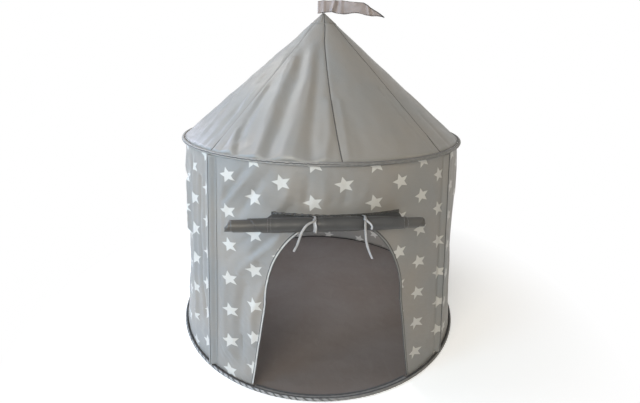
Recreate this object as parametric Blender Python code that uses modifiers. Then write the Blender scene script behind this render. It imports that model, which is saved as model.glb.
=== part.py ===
"""Round castle-type play tent, 1.13 m across and 1.22 m tall.

Two sprung hoops in sewn bindings carry a flared wall and a cone roof. Four two-piece poles stand in
sleeves on the wall, four more run under the roof into a moulded hub, and a flag stick plugs into the
hub from above. The arched door is rolled up under its header and held by two ribbon ties.
Units are metres, +Z is up, the door faces -Y and the origin is the middle of the floor.
Azimuths are in degrees from the door, positive towards +X.
"""

import math

import bmesh
import bpy
import numpy as np
from mathutils import Matrix, Vector

# Hoops and bindings
BASE_RADIUS = 0.565
EAVES_RADIUS = 0.525
EAVES_HEIGHT = 0.7345
BINDING_RADIUS = 0.0055
BINDING_WALL = 0.0013
BINDING_SLIT = 64.0
HOOP_ROD_RADIUS = 0.0038
HOOP_STEPS = 60

# Cloth
CLOTH = 0.0015
GAP = 0.0003
SEAM_GAP = 0.0008
WALL_BOTTOM = 0.009
WALL_TOP = 0.7335
WALL_FOOT_RADIUS = 0.5535
WALL_HEAD_RADIUS = 0.513
WALL_DRAWN_IN = 0.003
WALL_DRAWN_IN_SLACK = 0.013
WALL_FOLD = 0.0016
WALL_FOLD_SLACK = 0.0034
WALL_FOLDS_A_DEGREE = 14.0
WALL_FOLD_SLANT = 60.0
POLE_FLAT = 0.6
SLACK_SIDE = -95.0
PANEL_SPAN = 90.0
PANEL_COLUMNS = 15
PANEL_ROWS = 8
FLOOR_RADIUS = 0.553
FLOOR_THICKNESS = 0.002

# Roof
APEX_HEIGHT = 1.1785
ROOF_FOOT_RADIUS = 0.5138
ROOF_FOOT_HEIGHT = 0.7385
GORE_COUNT = 8
GORE_SPAN = 360.0 / GORE_COUNT
GORE_COLUMNS = 6
GORE_ROWS = 6
GORE_TOP_RADIUS = 0.0055
ROOF_SAG = 0.001
ROOF_FOLD = 0.0045
ROOF_FOLDS_A_DEGREE = 20.0
ROOF_FOLD_SIDE = -25.0
CAP_FOOT_RADIUS = 0.048
CAP_CLOTH = 0.0012
CAP_HOLE_PLAY = 0.0009

# Poles
POLE_AZIMUTHS = {"front_left": -45.0, "front_right": 45.0, "back_right": 135.0, "back_left": -135.0}
POLE_RADIUS = 0.004
POLE_SIDES = 8
POLE_SETOFF = 0.0058
POLE_FOOT = 0.0145
POLE_SPLIT = 0.370
POLE_BREAK = 0.0010
POLE_HEAD = 0.7255
FITTING_RADIUS = 0.0052
FITTING_BORE = 0.0043
FERRULE_LENGTH = 0.050
FOOT_CAP_LENGTH = 0.018
FOOT_CAP_FLOOR = 0.0012
SLEEVE_CLOTH = 0.0010
SLEEVE_BOTTOM = 0.0130
SLEEVE_TOP = 0.7265
SLEEVE_LIFT = 0.0004
SLEEVE_RISE = 0.0122
SLEEVE_HALF = 0.0122
SLEEVE_STATIONS = (0.0, 0.35, 0.60, 0.86, 1.0)
SLEEVE_SWELL_END = 0.86
SLEEVE_SWELL_POWER = 1.15
POCKET_HALF = 0.0134
POCKET_TOP = 0.060
POCKET_STEP = 0.004

# Roof poles, their pockets and the hub
ROOF_POLE_SETOFF = 0.0068
ROOF_POLE_START = 0.024
ROOF_POLE_END = 0.494
ROOF_POCKET_RADIUS = 0.0064
ROOF_POCKET_LENGTH = 0.036
ROOF_POCKET_PLAY = 0.0006
ROOF_POCKET_CHAMFER = 0.003
HUB_PROFILE = [
    (0.0, 1.168), (0.0060, 1.168), (0.0095, 1.1645), (0.0165, 1.1565), (0.0175, 1.150),
    (0.0175, 1.134), (0.0145, 1.128), (0.0080, 1.1245), (0.0, 1.1245),
]
HUB_SOCKET_START = 0.004
HUB_SOCKET_RADIUS = 0.0062
HUB_SOCKET_END = 0.052
HUB_BORE_DEPTH = 0.0375

# Flag
STICK_RADIUS = 0.0025
STICK_BORE = 0.0028
STICK_FOOT = 1.1355
STICK_HEAD = 1.2190
FLAG_CLOTH_THICKNESS = 0.0008
FLAG_BOTTOM = 1.1782
FLAG_TOP = 1.2205
FLAG_LENGTH = 0.231
FLAG_SLANT_START = 0.150
FLAG_DROOP = 0.0115
FLAG_TAPER = 0.003
FLAG_TIP = 0.003
FLAG_WAVE = 0.0075
FLAG_WAVE_TURN = 34.0
FLAG_WAVE_START = 0.06
FLAG_COLUMNS = 14
FLAG_ROWS = 5
FLAG_FOLD = -0.0206
FLAG_FOLD_RADIUS = 0.0014
FLAG_SEAM = 0.030
FLAG_BULGE = 0.0023
FLAG_BULGE_WIDTH = 0.0075
FLAG_POCKET_PLACES = (-0.0150, -0.0085, -0.0045, 0.0, 0.0045, 0.0085, 0.0130, 0.020)

# Door arch
ARCH_FOOT_HALF = 0.250
ARCH_SPRING_HALF = 0.205
ARCH_SPRING_HEIGHT = 0.300
ARCH_TOP = 0.576
ARCH_STEPS = 26
ARCH_TAPE_RADIUS = 0.0022
ARCH_TAPE_BOTTOM = 0.0150
ARCH_TAPE_INSET = 0.0005
ARCH_CUTTER_BOTTOM = -0.02
ARCH_CUTTER_Y = -0.50
ARCH_CUTTER_REACH = 0.15

# Rolled door
HEADER_HALF = 0.181
HEADER_BOTTOM = 0.586
HEADER_TOP = 0.5945
HEADER_CLOTH = 0.0025
DOOR_COLUMNS = 13
FLAP_BELOW_HEADER = 0.0006
FLAP_BEHIND_ROLL = 0.0002
FLAP_ABOVE_ROLL = 0.0009
ROLL_HEIGHT = 0.577
ROLL_Y = -0.5462
ROLL_RADIUS = 0.0204
ROLL_CORE_RADIUS = 0.0042
ROLL_TURNS = 6.5
ROLL_POINTS_A_TURN = 10
ROLL_CLOTH = 0.0011
ROLL_START_ANGLE = 10.0
ROLL_HALF_OUTER = 0.1925
ROLL_HALF_INNER = 0.265
ROLL_SKEW = -0.030
ROLL_PINCH = 0.11
ROLL_PINCH_WIDTH = 0.016
ROLL_BESIDE_TIE = 0.026
LEAST_ROLL_GAP = 0.0004
TIE_PLACES = {"left": -0.0655, "right": 0.0700}
TIE_WIDTH = 0.007
TIE_CLOTH = 0.0008
TIE_CLEARANCE = 0.0009
TIE_SEWN_HEIGHT = 0.5895
TIE_OFF_HEADER = 0.0012
TIE_ANGLES = (75.0, 110.0, 145.0, 180.0, 215.0, 250.0, 285.0, 320.0)
KNOT_SIZE = (0.0050, 0.0036, 0.0042)
KNOT_FORWARD = 0.0140
KNOT_RISE = 0.0166
TIE_TAILS = {
    "left": [(-0.0010, -0.0005, -0.0010), (-0.0064, -0.0053, -0.0018), (-0.0210, -0.0103, -0.0078),
             (-0.0343, -0.0143, -0.0257), (-0.0405, -0.0148, -0.0440), (-0.0477, -0.0138, -0.0652),
             (-0.0560, -0.0118, -0.0815)],
    "right": [(0.0000, -0.0005, -0.0010), (-0.0020, -0.0078, -0.0096), (-0.0012, -0.0133, -0.0324),
              (0.0014, -0.0148, -0.0548), (0.0065, -0.0148, -0.0745), (0.0135, -0.0143, -0.0924),
              (0.0206, -0.0133, -0.1084)],
}
TIE_LOOPS = {
    "left": [(0.0012, -0.0005, -0.0010), (0.0014, -0.0055, -0.0062), (0.0030, -0.0103, -0.0135),
             (0.0029, -0.0133, -0.0220), (0.0010, -0.0128, -0.0293)],
    "right": [(0.0010, -0.0005, -0.0010), (0.0059, -0.0058, -0.0040), (0.0125, -0.0103, -0.0094),
              (0.0153, -0.0133, -0.0156), (0.0142, -0.0128, -0.0229)],
}


def clear_scene():
    for obj in list(bpy.data.objects):
        bpy.data.objects.remove(obj, do_unlink=True)


def make_collection(name):
    collection = bpy.data.collections.new(name)
    bpy.context.scene.collection.children.link(collection)
    return collection


clear_scene()
TENT = make_collection("play_tent")
CUTTERS = make_collection("play_tent_cutters")
CUTTERS.hide_render = True


# Materials


def principled(name, colour, roughness, metallic=0.0):
    material = bpy.data.materials.new(name)
    material.use_nodes = True
    shader = material.node_tree.nodes["Principled BSDF"]
    shader.inputs["Base Color"].default_value = (*colour, 1.0)
    shader.inputs["Roughness"].default_value = roughness
    shader.inputs["Metallic"].default_value = metallic
    material.diffuse_color = (*colour, 1.0)
    return material


WALL_CLOTH = principled("printed_grey_cloth", (0.42, 0.42, 0.41), 0.62)
ROOF_CLOTH = principled("plain_grey_satin", (0.40, 0.40, 0.39), 0.55)
BINDING_TAPE = principled("dark_binding_tape", (0.13, 0.13, 0.13), 0.75)
DARK_CLOTH = principled("dark_grey_cloth", (0.08, 0.08, 0.08), 0.75)
FLOOR_CLOTH = principled("taupe_floor_cloth", (0.11, 0.10, 0.09), 0.80)
FLAG_CLOTH = principled("mauve_grey_cloth", (0.30, 0.28, 0.29), 0.65)
RIBBON = principled("silver_grey_ribbon", (0.62, 0.62, 0.63), 0.45)
SPRING_STEEL = principled("coated_spring_wire", (0.35, 0.35, 0.36), 0.35, 0.9)
POLE_PLASTIC = principled("white_pole_plastic", (0.78, 0.78, 0.76), 0.40)
FITTING_PLASTIC = principled("black_fitting_plastic", (0.03, 0.03, 0.03), 0.45)


# Helpers


def add_object(name, data, material, collection=TENT):
    obj = bpy.data.objects.new(name, data)
    collection.objects.link(obj)
    if material is not None and not data.materials:
        data.materials.append(material)
    return obj


def shade_round(mesh, sharp_angle=40.0):
    mesh.shade_smooth()
    mesh.set_sharp_from_angle(angle=math.radians(sharp_angle))


def add_cutter(name, mesh):
    obj = add_object(name, mesh, None, CUTTERS)
    obj.hide_render = True
    obj.display_type = "WIRE"
    return obj


def boolean(obj, other, operation):
    modifier = obj.modifiers.new(operation.lower() + "_" + other.name, "BOOLEAN")
    modifier.operation = operation
    modifier.solver = "EXACT"
    modifier.object = other


def grid_mesh(name, rows):
    """An open sheet of quads through rows of points."""
    mesh_data = bmesh.new()
    made = [[mesh_data.verts.new(point) for point in row] for row in rows]
    for low, high in zip(made[:-1], made[1:]):
        for i in range(len(low) - 1):
            mesh_data.faces.new((low[i], low[i + 1], high[i + 1], high[i]))
    mesh = bpy.data.meshes.new(name)
    mesh_data.to_mesh(mesh)
    mesh_data.free()
    shade_round(mesh, 60.0)
    return mesh


def thicken(obj, thickness, offset):
    solid = obj.modifiers.new("cloth_thickness", "SOLIDIFY")
    solid.thickness = thickness
    solid.offset = offset


def turned(name, profile, steps, material, collection=TENT, closed=True):
    """A profile of (radius, height) points turned about Z. It runs down its outer side."""
    mesh = bpy.data.meshes.new(name)
    count = len(profile)
    edges = [(i, i + 1) for i in range(count - 1)]
    if closed:
        edges.append((count - 1, 0))
    mesh.from_pydata([(r, 0.0, z) for r, z in profile], edges, [])
    obj = add_object(name, mesh, material, collection)
    screw = obj.modifiers.new("turn", "SCREW")
    screw.steps = steps
    screw.render_steps = steps
    screw.use_merge_vertices = True
    screw.merge_threshold = 0.00001
    screw.use_smooth_shade = True
    return obj


def rod_mesh(name, radius, length, sides):
    """A straight round bar along Z, centred on the origin."""
    bar = bmesh.new()
    bmesh.ops.create_cone(
        bar, cap_ends=True, segments=sides, radius1=radius, radius2=radius, depth=length
    )
    mesh = bpy.data.meshes.new(name)
    bar.to_mesh(mesh)
    bar.free()
    shade_round(mesh)
    return mesh


def placed_along(obj, start, end):
    """Sets the object's own Z along start to end, with its origin midway."""
    direction = (end - start).normalized()
    obj.rotation_mode = "QUATERNION"
    obj.rotation_quaternion = direction.to_track_quat("Z", "Y")
    obj.location = (start + end) / 2


def round_bar(name, start, end, radius, material, sides=POLE_SIDES, collection=TENT):
    mesh = rod_mesh(name, radius, (end - start).length, sides)
    obj = add_object(name, mesh, material, collection)
    placed_along(obj, start, end)
    return obj


def smooth_route(points, per_span):
    """Points on a Catmull-Rom curve through the given points."""
    knots = [Vector(p) for p in points]
    knots = [2 * knots[0] - knots[1], *knots, 2 * knots[-1] - knots[-2]]
    route = []
    for a, b, c, d in zip(knots, knots[1:], knots[2:], knots[3:]):
        for step in range(per_span):
            t = step / per_span
            route.append(
                0.5 * (2 * b + (c - a) * t + (2 * a - 5 * b + 4 * c - d) * t**2
                       + (3 * b - a - 3 * c + d) * t**3)
            )
    route.append(knots[-2])
    return route


def smoothstep(value):
    value = min(1.0, max(0.0, value))
    return value * value * (3.0 - 2.0 * value)


def polar(azimuth, radius, height):
    angle = math.radians(azimuth)
    return Vector((radius * math.sin(angle), -radius * math.cos(angle), height))


# Wall surface


def wall_straight_radius(height):
    """Outer face of the wall on the straight line between the hoops."""
    share = (height - WALL_BOTTOM) / (WALL_TOP - WALL_BOTTOM)
    return WALL_FOOT_RADIUS + (WALL_HEAD_RADIUS - WALL_FOOT_RADIUS) * share


def wall_fold_depth(azimuth, height):
    """How far the slack cloth lies inside the straight wall: drawn in between poles, with soft folds."""
    share = (height - WALL_BOTTOM) / (WALL_TOP - WALL_BOTTOM)
    past_pole = (azimuth + 45.0) % PANEL_SPAN
    if min(past_pole, PANEL_SPAN - past_pole) < POLE_FLAT:
        return 0.0
    between_poles = math.sin(math.pi * past_pole / PANEL_SPAN)
    upright = math.sin(math.pi * min(1.0, max(0.0, share)))
    slack = max(0.0, math.cos(math.radians(azimuth - SLACK_SIDE)))
    drawn_in = (WALL_DRAWN_IN + WALL_DRAWN_IN_SLACK * slack) * upright
    turn = math.radians(azimuth * WALL_FOLDS_A_DEGREE + WALL_FOLD_SLANT * share)
    folds = (WALL_FOLD + WALL_FOLD_SLACK * slack) * (1.0 + math.sin(turn))
    held = (0.35 + 0.65 * upright) * min(1.0, 6.0 * share, 6.0 - 6.0 * share)
    return (drawn_in + folds * held) * between_poles


def wall_point(azimuth, height, outward=0.0):
    radius = wall_straight_radius(height) - wall_fold_depth(azimuth, height) + outward
    return polar(azimuth, radius, height)


def arch_half_width(height):
    """Half the door opening's width, measured straight across, at a height."""
    if height <= ARCH_SPRING_HEIGHT:
        share = height / ARCH_SPRING_HEIGHT
        return ARCH_FOOT_HALF + (ARCH_SPRING_HALF - ARCH_FOOT_HALF) * share
    rise = (height - ARCH_SPRING_HEIGHT) / (ARCH_TOP - ARCH_SPRING_HEIGHT)
    return ARCH_SPRING_HALF * math.sqrt(max(0.0, 1.0 - rise * rise))


def arch_outline(bottom, inset):
    """(x, z) points up the left leg, round the top and down the right leg, inset from the edge."""
    half = ARCH_SPRING_HALF - inset
    rise = ARCH_TOP - ARCH_SPRING_HEIGHT - inset
    foot = arch_half_width(bottom) - inset
    legs = [(-foot, bottom), (-(foot + half) / 2, (bottom + ARCH_SPRING_HEIGHT) / 2)]
    top = []
    for step in range(ARCH_STEPS + 1):
        angle = math.pi * (1.0 - step / ARCH_STEPS)
        top.append((half * math.cos(angle), ARCH_SPRING_HEIGHT + rise * math.sin(angle)))
    return [*legs, *top, *[(-x, z) for x, z in reversed(legs)]]


# Floor, hoops and bindings


def build_floor():
    disc = bmesh.new()
    bmesh.ops.create_cone(
        disc, cap_ends=True, segments=HOOP_STEPS, radius1=FLOOR_RADIUS, radius2=FLOOR_RADIUS,
        depth=FLOOR_THICKNESS,
    )
    mesh = bpy.data.meshes.new("floor_mat")
    disc.to_mesh(mesh)
    disc.free()
    shade_round(mesh)
    floor = add_object("floor_mat", mesh, FLOOR_CLOTH)
    floor.location.z = FLOOR_THICKNESS / 2


def ring_section(centre_radius, centre_height, radius, start, end, steps):
    """Points round a circle in the (radius, height) plane, clockwise from start to end in degrees."""
    points = []
    for step in range(steps + 1):
        angle = math.radians(start + (end - start) * step / steps)
        points.append(
            (centre_radius + radius * math.cos(angle), centre_height + radius * math.sin(angle))
        )
    return points


def build_hoop(prefix, outer_radius, height):
    """A sprung rod in a binding whose slit faces the tent's axis, where the cloth is sewn in."""
    centre = outer_radius - BINDING_RADIUS
    rod = ring_section(centre, height, HOOP_ROD_RADIUS, 90.0, -210.0, 5)
    turned(prefix + "_hoop", rod, HOOP_STEPS, SPRING_STEEL)
    lips = 180.0 - BINDING_SLIT / 2
    outside = ring_section(centre, height, BINDING_RADIUS, lips, -lips, 7)
    inside = ring_section(centre, height, BINDING_RADIUS - BINDING_WALL, -lips, lips, 7)
    turned(prefix + "_binding", outside + inside, HOOP_STEPS, BINDING_TAPE)


# Wall panels and pole sleeves


def panel_rows(middle):
    side_gap = math.degrees(SEAM_GAP / 2 / WALL_HEAD_RADIUS)
    start = middle - PANEL_SPAN / 2
    rows = []
    for row in range(PANEL_ROWS + 1):
        height = WALL_BOTTOM + (WALL_TOP - WALL_BOTTOM) * row / PANEL_ROWS
        azimuths = [start + PANEL_SPAN * column / PANEL_COLUMNS for column in range(PANEL_COLUMNS + 1)]
        azimuths[0] += side_gap
        azimuths[-1] -= side_gap
        rows.append([wall_point(azimuth, height) for azimuth in azimuths])
    return rows


def build_wall_panel(name, middle):
    panel = add_object(name, grid_mesh(name, panel_rows(middle)), WALL_CLOTH)
    thicken(panel, CLOTH, -1.0)
    return panel


def arch_cutter():
    """The door opening's outline as a filled flat curve, extruded straight through the front wall."""
    outline = arch_outline(ARCH_CUTTER_BOTTOM, 0.0)
    curve = bpy.data.curves.new("arch_outline", "CURVE")
    curve.dimensions = "2D"
    curve.fill_mode = "BOTH"
    curve.extrude = ARCH_CUTTER_REACH
    spline = curve.splines.new("POLY")
    spline.points.add(len(outline) - 1)
    for point, (x, z) in zip(spline.points, outline):
        point.co = (x, z, 0.0, 1.0)
    spline.use_cyclic_u = True
    guide = bpy.data.objects.new("arch_guide", curve)
    CUTTERS.objects.link(guide)
    guide.rotation_euler.x = math.radians(90.0)
    guide.location.y = ARCH_CUTTER_Y
    bpy.context.view_layer.update()
    graph = bpy.context.evaluated_depsgraph_get()
    mesh = bpy.data.meshes.new_from_object(guide.evaluated_get(graph))
    cutter_mesh = bmesh.new()
    cutter_mesh.from_mesh(mesh)
    bmesh.ops.remove_doubles(cutter_mesh, verts=cutter_mesh.verts, dist=0.00001)
    bmesh.ops.recalc_face_normals(cutter_mesh, faces=cutter_mesh.faces)
    cutter_mesh.to_mesh(mesh)
    cutter_mesh.free()
    cutter = add_cutter("arch_cutter", mesh)
    cutter.matrix_world = guide.matrix_world.copy()
    bpy.data.objects.remove(guide, do_unlink=True)
    return cutter


def build_walls():
    front = build_wall_panel("wall_panel_front", 0.0)
    boolean(front, arch_cutter(), "DIFFERENCE")
    build_wall_panel("wall_panel_right", 90.0)
    build_wall_panel("wall_panel_back", 180.0)
    build_wall_panel("wall_panel_left", -90.0)


def sleeve_section(half):
    """(across, outward) points of the sleeve's inner face: flat at its edges and swelling over the pole."""
    side = []
    for station in SLEEVE_STATIONS:
        swell = max(0.0, 1.0 - (station / SLEEVE_SWELL_END) ** 2) ** SLEEVE_SWELL_POWER
        side.append((station * half, SLEEVE_LIFT + (SLEEVE_RISE - SLEEVE_LIFT) * swell))
    other_side = [(-across, outward) for across, outward in reversed(side[1:])]
    return [*other_side, *side]


def build_sleeve(place, azimuth):
    """A strip sewn over the pole, a little wider at its foot, where the pole's end is pocketed."""
    stations = [
        (SLEEVE_BOTTOM, POCKET_HALF), (POCKET_TOP, POCKET_HALF), (POCKET_TOP + POCKET_STEP, SLEEVE_HALF),
        (0.250, SLEEVE_HALF), (0.490, SLEEVE_HALF), (SLEEVE_TOP, SLEEVE_HALF),
    ]
    side = polar(azimuth + 90.0, 1.0, 0.0)
    out = polar(azimuth, 1.0, 0.0)
    rows = []
    for height, half in stations:
        foot = polar(azimuth, wall_straight_radius(height), height)
        rows.append([foot + side * across + out * outward for across, outward in sleeve_section(half)])
    name = "pole_sleeve_" + place
    sleeve = add_object(name, grid_mesh(name, rows), WALL_CLOTH)
    thicken(sleeve, SLEEVE_CLOTH, 1.0)


# Wall poles


def pole_axis_point(azimuth, height):
    return polar(azimuth, wall_straight_radius(height) + POLE_SETOFF, height)


def build_wall_pole(place, azimuth):
    """Two halves joined by a ferrule, with a cap on the foot."""
    half_break = POLE_BREAK / 2
    round_bar(
        "wall_pole_lower_" + place, pole_axis_point(azimuth, POLE_FOOT),
        pole_axis_point(azimuth, POLE_SPLIT - half_break), POLE_RADIUS, POLE_PLASTIC,
    )
    round_bar(
        "wall_pole_upper_" + place, pole_axis_point(azimuth, POLE_SPLIT + half_break),
        pole_axis_point(azimuth, POLE_HEAD), POLE_RADIUS, POLE_PLASTIC,
    )
    half = FERRULE_LENGTH / 2
    ferrule = turned(
        "pole_ferrule_" + place,
        [(FITTING_BORE, half), (FITTING_RADIUS, half), (FITTING_RADIUS, -half), (FITTING_BORE, -half)],
        POLE_SIDES, FITTING_PLASTIC,
    )
    placed_along(
        ferrule, pole_axis_point(azimuth, POLE_SPLIT - half), pole_axis_point(azimuth, POLE_SPLIT + half)
    )
    half = FOOT_CAP_LENGTH / 2
    cap_floor = -half + FOOT_CAP_FLOOR
    cap = turned(
        "pole_foot_" + place,
        [(0.0, cap_floor), (FITTING_BORE, cap_floor), (FITTING_BORE, half), (FITTING_RADIUS, half),
         (FITTING_RADIUS, -half), (0.0, -half)],
        POLE_SIDES, FITTING_PLASTIC, closed=False,
    )
    cap_bottom = POLE_FOOT - FOOT_CAP_FLOOR - GAP
    placed_along(
        cap, pole_axis_point(azimuth, cap_bottom), pole_axis_point(azimuth, cap_bottom + FOOT_CAP_LENGTH)
    )


# Roof surface


ROOF_PITCH = math.atan2(APEX_HEIGHT - ROOF_FOOT_HEIGHT, ROOF_FOOT_RADIUS)


def roof_height(radius):
    """Outer face of the taut cone over the poles."""
    return APEX_HEIGHT - radius * math.tan(ROOF_PITCH)


def roof_sag(azimuth, radius):
    """How far the cloth hangs below the taut cone between the poles, with soft folds on the left front."""
    share = 1.0 - radius / ROOF_FOOT_RADIUS
    between = abs(math.sin(math.radians(2.0 * (azimuth - 45.0))))
    along = math.sin(math.pi * min(1.0, share * 1.12))
    slack = max(0.0, math.cos(math.radians(azimuth - ROOF_FOLD_SIDE))) ** 2
    folds = ROOF_FOLD * slack * (1.0 + math.sin(math.radians(azimuth * ROOF_FOLDS_A_DEGREE)))
    return (ROOF_SAG * max(0.0, along) + folds * math.sin(math.pi * share) ** 0.7) * between


def gore_radii():
    """Radii of the gore's rows, closer together near the apex."""
    radii = []
    for row in range(GORE_ROWS + 1):
        share = (row / GORE_ROWS) ** 0.85
        radii.append(ROOF_FOOT_RADIUS + (GORE_TOP_RADIUS - ROOF_FOOT_RADIUS) * share)
    return radii


def build_gore(number, start):
    rows = []
    for radius in gore_radii():
        side_gap = math.degrees(SEAM_GAP / 2 / radius)
        row = []
        for column in range(GORE_COLUMNS + 1):
            azimuth = start + GORE_SPAN * column / GORE_COLUMNS
            sag = roof_sag(azimuth, radius)
            if column == 0:
                azimuth += side_gap
            if column == GORE_COLUMNS:
                azimuth -= side_gap
            row.append(polar(azimuth, radius, roof_height(radius) - sag))
        rows.append(row)
    name = f"roof_gore_{number}"
    gore = add_object(name, grid_mesh(name, rows), ROOF_CLOTH)
    thicken(gore, CLOTH, -1.0)


def build_roof_cap():
    """The doubled patch over the apex, with a hole for the flag stick."""
    lift = GAP / math.cos(ROOF_PITCH)
    rise = CAP_CLOTH / math.cos(ROOF_PITCH)
    hole = STICK_RADIUS + CAP_HOLE_PLAY
    inner_top = roof_height(hole) + lift
    inner_foot = roof_height(CAP_FOOT_RADIUS) + lift
    profile = [
        (hole, inner_top + rise), (CAP_FOOT_RADIUS, inner_foot + rise),
        (CAP_FOOT_RADIUS, inner_foot), (hole, inner_top),
    ]
    turned("roof_cap", profile, 24, ROOF_CLOTH)


# Roof poles, pockets and hub


def roof_pole_point(azimuth, radius):
    drop = (CLOTH + ROOF_POLE_SETOFF) / math.cos(ROOF_PITCH)
    return polar(azimuth, radius, roof_height(radius) - drop)


def build_roof_pole(place, azimuth):
    round_bar(
        "roof_pole_" + place, roof_pole_point(azimuth, ROOF_POLE_START),
        roof_pole_point(azimuth, ROOF_POLE_END), POLE_RADIUS, POLE_PLASTIC,
    )
    end = roof_pole_point(azimuth, ROOF_POLE_END)
    inward = (roof_pole_point(azimuth, ROOF_POLE_START) - end).normalized()
    closed_end = end - inward * (GAP + CLOTH)
    half = ROOF_POCKET_LENGTH / 2
    bore = POLE_RADIUS + ROOF_POCKET_PLAY
    pocket = turned(
        "roof_pocket_" + place,
        [(0.0, -half + CLOTH), (bore, -half + CLOTH), (bore, half), (ROOF_POCKET_RADIUS, half),
         (ROOF_POCKET_RADIUS, -half + ROOF_POCKET_CHAMFER),
         (ROOF_POCKET_RADIUS - ROOF_POCKET_CHAMFER, -half), (0.0, -half)],
        POLE_SIDES, DARK_CLOTH, closed=False,
    )
    placed_along(pocket, closed_end, closed_end + inward * ROOF_POCKET_LENGTH)


def cutting_bar(name, start, end, radius, sides):
    bar = round_bar(name, start, end, radius, None, sides, CUTTERS)
    bar.hide_render = True
    bar.display_type = "WIRE"
    return bar


def build_hub():
    """A moulded hub: a turned core, four raking sockets with rims, and a socket for the stick on top."""
    hub = turned("apex_hub", HUB_PROFILE, 12, FITTING_PLASTIC, closed=False)
    for azimuth in POLE_AZIMUTHS.values():
        inner = roof_pole_point(azimuth, HUB_SOCKET_START)
        outer = roof_pole_point(azimuth, HUB_SOCKET_END)
        along = (outer - inner).normalized()
        socket = cutting_bar(f"hub_socket_{azimuth:.0f}", inner, outer, HUB_SOCKET_RADIUS, 10)
        boolean(hub, socket, "UNION")
        bore_start = outer - along * HUB_BORE_DEPTH
        bore = cutting_bar(f"hub_bore_{azimuth:.0f}", bore_start, outer + along * 0.01, FITTING_BORE, 8)
        boolean(hub, bore, "DIFFERENCE")
    stick_bore = cutting_bar(
        "hub_stick_bore", Vector((0.0, 0.0, STICK_FOOT - GAP)), Vector((0.0, 0.0, 1.180)), STICK_BORE, 12
    )
    boolean(hub, stick_bore, "DIFFERENCE")


# Flag


def flag_edge_heights(along):
    """(bottom, top) of the pennant at a distance from the stick: a band with a slanting end."""
    bottom = FLAG_BOTTOM - FLAG_DROOP * (along / FLAG_LENGTH) ** 2
    top = FLAG_TOP - FLAG_TAPER * along / FLAG_SLANT_START
    if along > FLAG_SLANT_START:
        share = (along - FLAG_SLANT_START) / (FLAG_LENGTH - FLAG_SLANT_START)
        top += (bottom + FLAG_TIP - top) * share
    return bottom, top


def pocket_half_depth(x):
    """Half the depth of the flag's flat pocket, fuller where the stick passes through it."""
    return FLAG_FOLD_RADIUS + FLAG_BULGE * math.exp(-((x / FLAG_BULGE_WIDTH) ** 2))


def flag_section():
    """(x, y) points round the pocket, from its seam at the back to the seam in front, then to the tip."""
    layer_step = FLAG_CLOTH_THICKNESS + GAP
    back = [(x, pocket_half_depth(x)) for x in reversed(FLAG_POCKET_PLACES)]
    front = [(x, -pocket_half_depth(x)) for x in FLAG_POCKET_PLACES]
    fold = []
    for angle in (90.0, 135.0, 180.0, 225.0, 270.0):
        turn = math.radians(angle)
        fold.append((FLAG_FOLD + FLAG_FOLD_RADIUS * math.cos(turn), FLAG_FOLD_RADIUS * math.sin(turn)))
    free = [(x, flag_swing(x - FLAG_SEAM)) for x in np.linspace(FLAG_SEAM, FLAG_LENGTH, FLAG_COLUMNS)]
    return [(FLAG_SEAM, layer_step), *back, *fold, *front, *free]


def flag_swing(along):
    """Sideways wave of the free cloth, growing away from the pocket."""
    return FLAG_WAVE * math.sin(FLAG_WAVE_TURN * along) * smoothstep(along / FLAG_WAVE_START)


def build_flag():
    """A stick, and a pennant folded round it into a flat pocket and sewn back on itself."""
    round_bar(
        "flag_stick", Vector((0.0, 0.0, STICK_FOOT)), Vector((0.0, 0.0, STICK_HEAD)), STICK_RADIUS,
        POLE_PLASTIC, 10,
    )
    section = flag_section()
    rows = []
    for share in np.linspace(0.0, 1.0, FLAG_ROWS):
        row = []
        for x, y in section:
            bottom, top = flag_edge_heights(max(0.0, x))
            row.append((x, y, bottom + (top - bottom) * share))
        rows.append(row)
    flag = add_object("flag", grid_mesh("flag", rows), FLAG_CLOTH)
    thicken(flag, FLAG_CLOTH_THICKNESS, 0.0)


# Door arch tape, header, flap, roll and ties


def build_arch_tape():
    """The rounded tape along the opening's edge, from one foot over the top to the other."""
    inset = ARCH_TAPE_RADIUS + ARCH_TAPE_INSET
    route = []
    for x, z in arch_outline(ARCH_TAPE_BOTTOM, inset):
        radius = wall_straight_radius(z)
        azimuth = math.degrees(math.asin(x / radius))
        route.append(wall_point(azimuth, z, -CLOTH / 2))
    curve = bpy.data.curves.new("arch_tape", "CURVE")
    curve.dimensions = "3D"
    curve.bevel_depth = ARCH_TAPE_RADIUS
    curve.bevel_resolution = 1
    curve.use_fill_caps = True
    spline = curve.splines.new("POLY")
    spline.points.add(len(route) - 1)
    for point, place in zip(spline.points, route):
        point.co = (*place, 1.0)
    add_object("door_arch_binding", curve, BINDING_TAPE)


def build_header():
    """The stitched strip across the top of the door, lying on the wall."""
    half_angle = math.degrees(math.asin(HEADER_HALF / wall_straight_radius(HEADER_TOP)))
    rows = []
    for height in (HEADER_BOTTOM, HEADER_TOP):
        rows.append(
            [polar(azimuth, wall_straight_radius(height) + GAP, height)
             for azimuth in np.linspace(-half_angle, half_angle, DOOR_COLUMNS)]
        )
    header = add_object("door_header", grid_mesh("door_header", rows), DARK_CLOTH)
    thicken(header, HEADER_CLOTH, 1.0)


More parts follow.
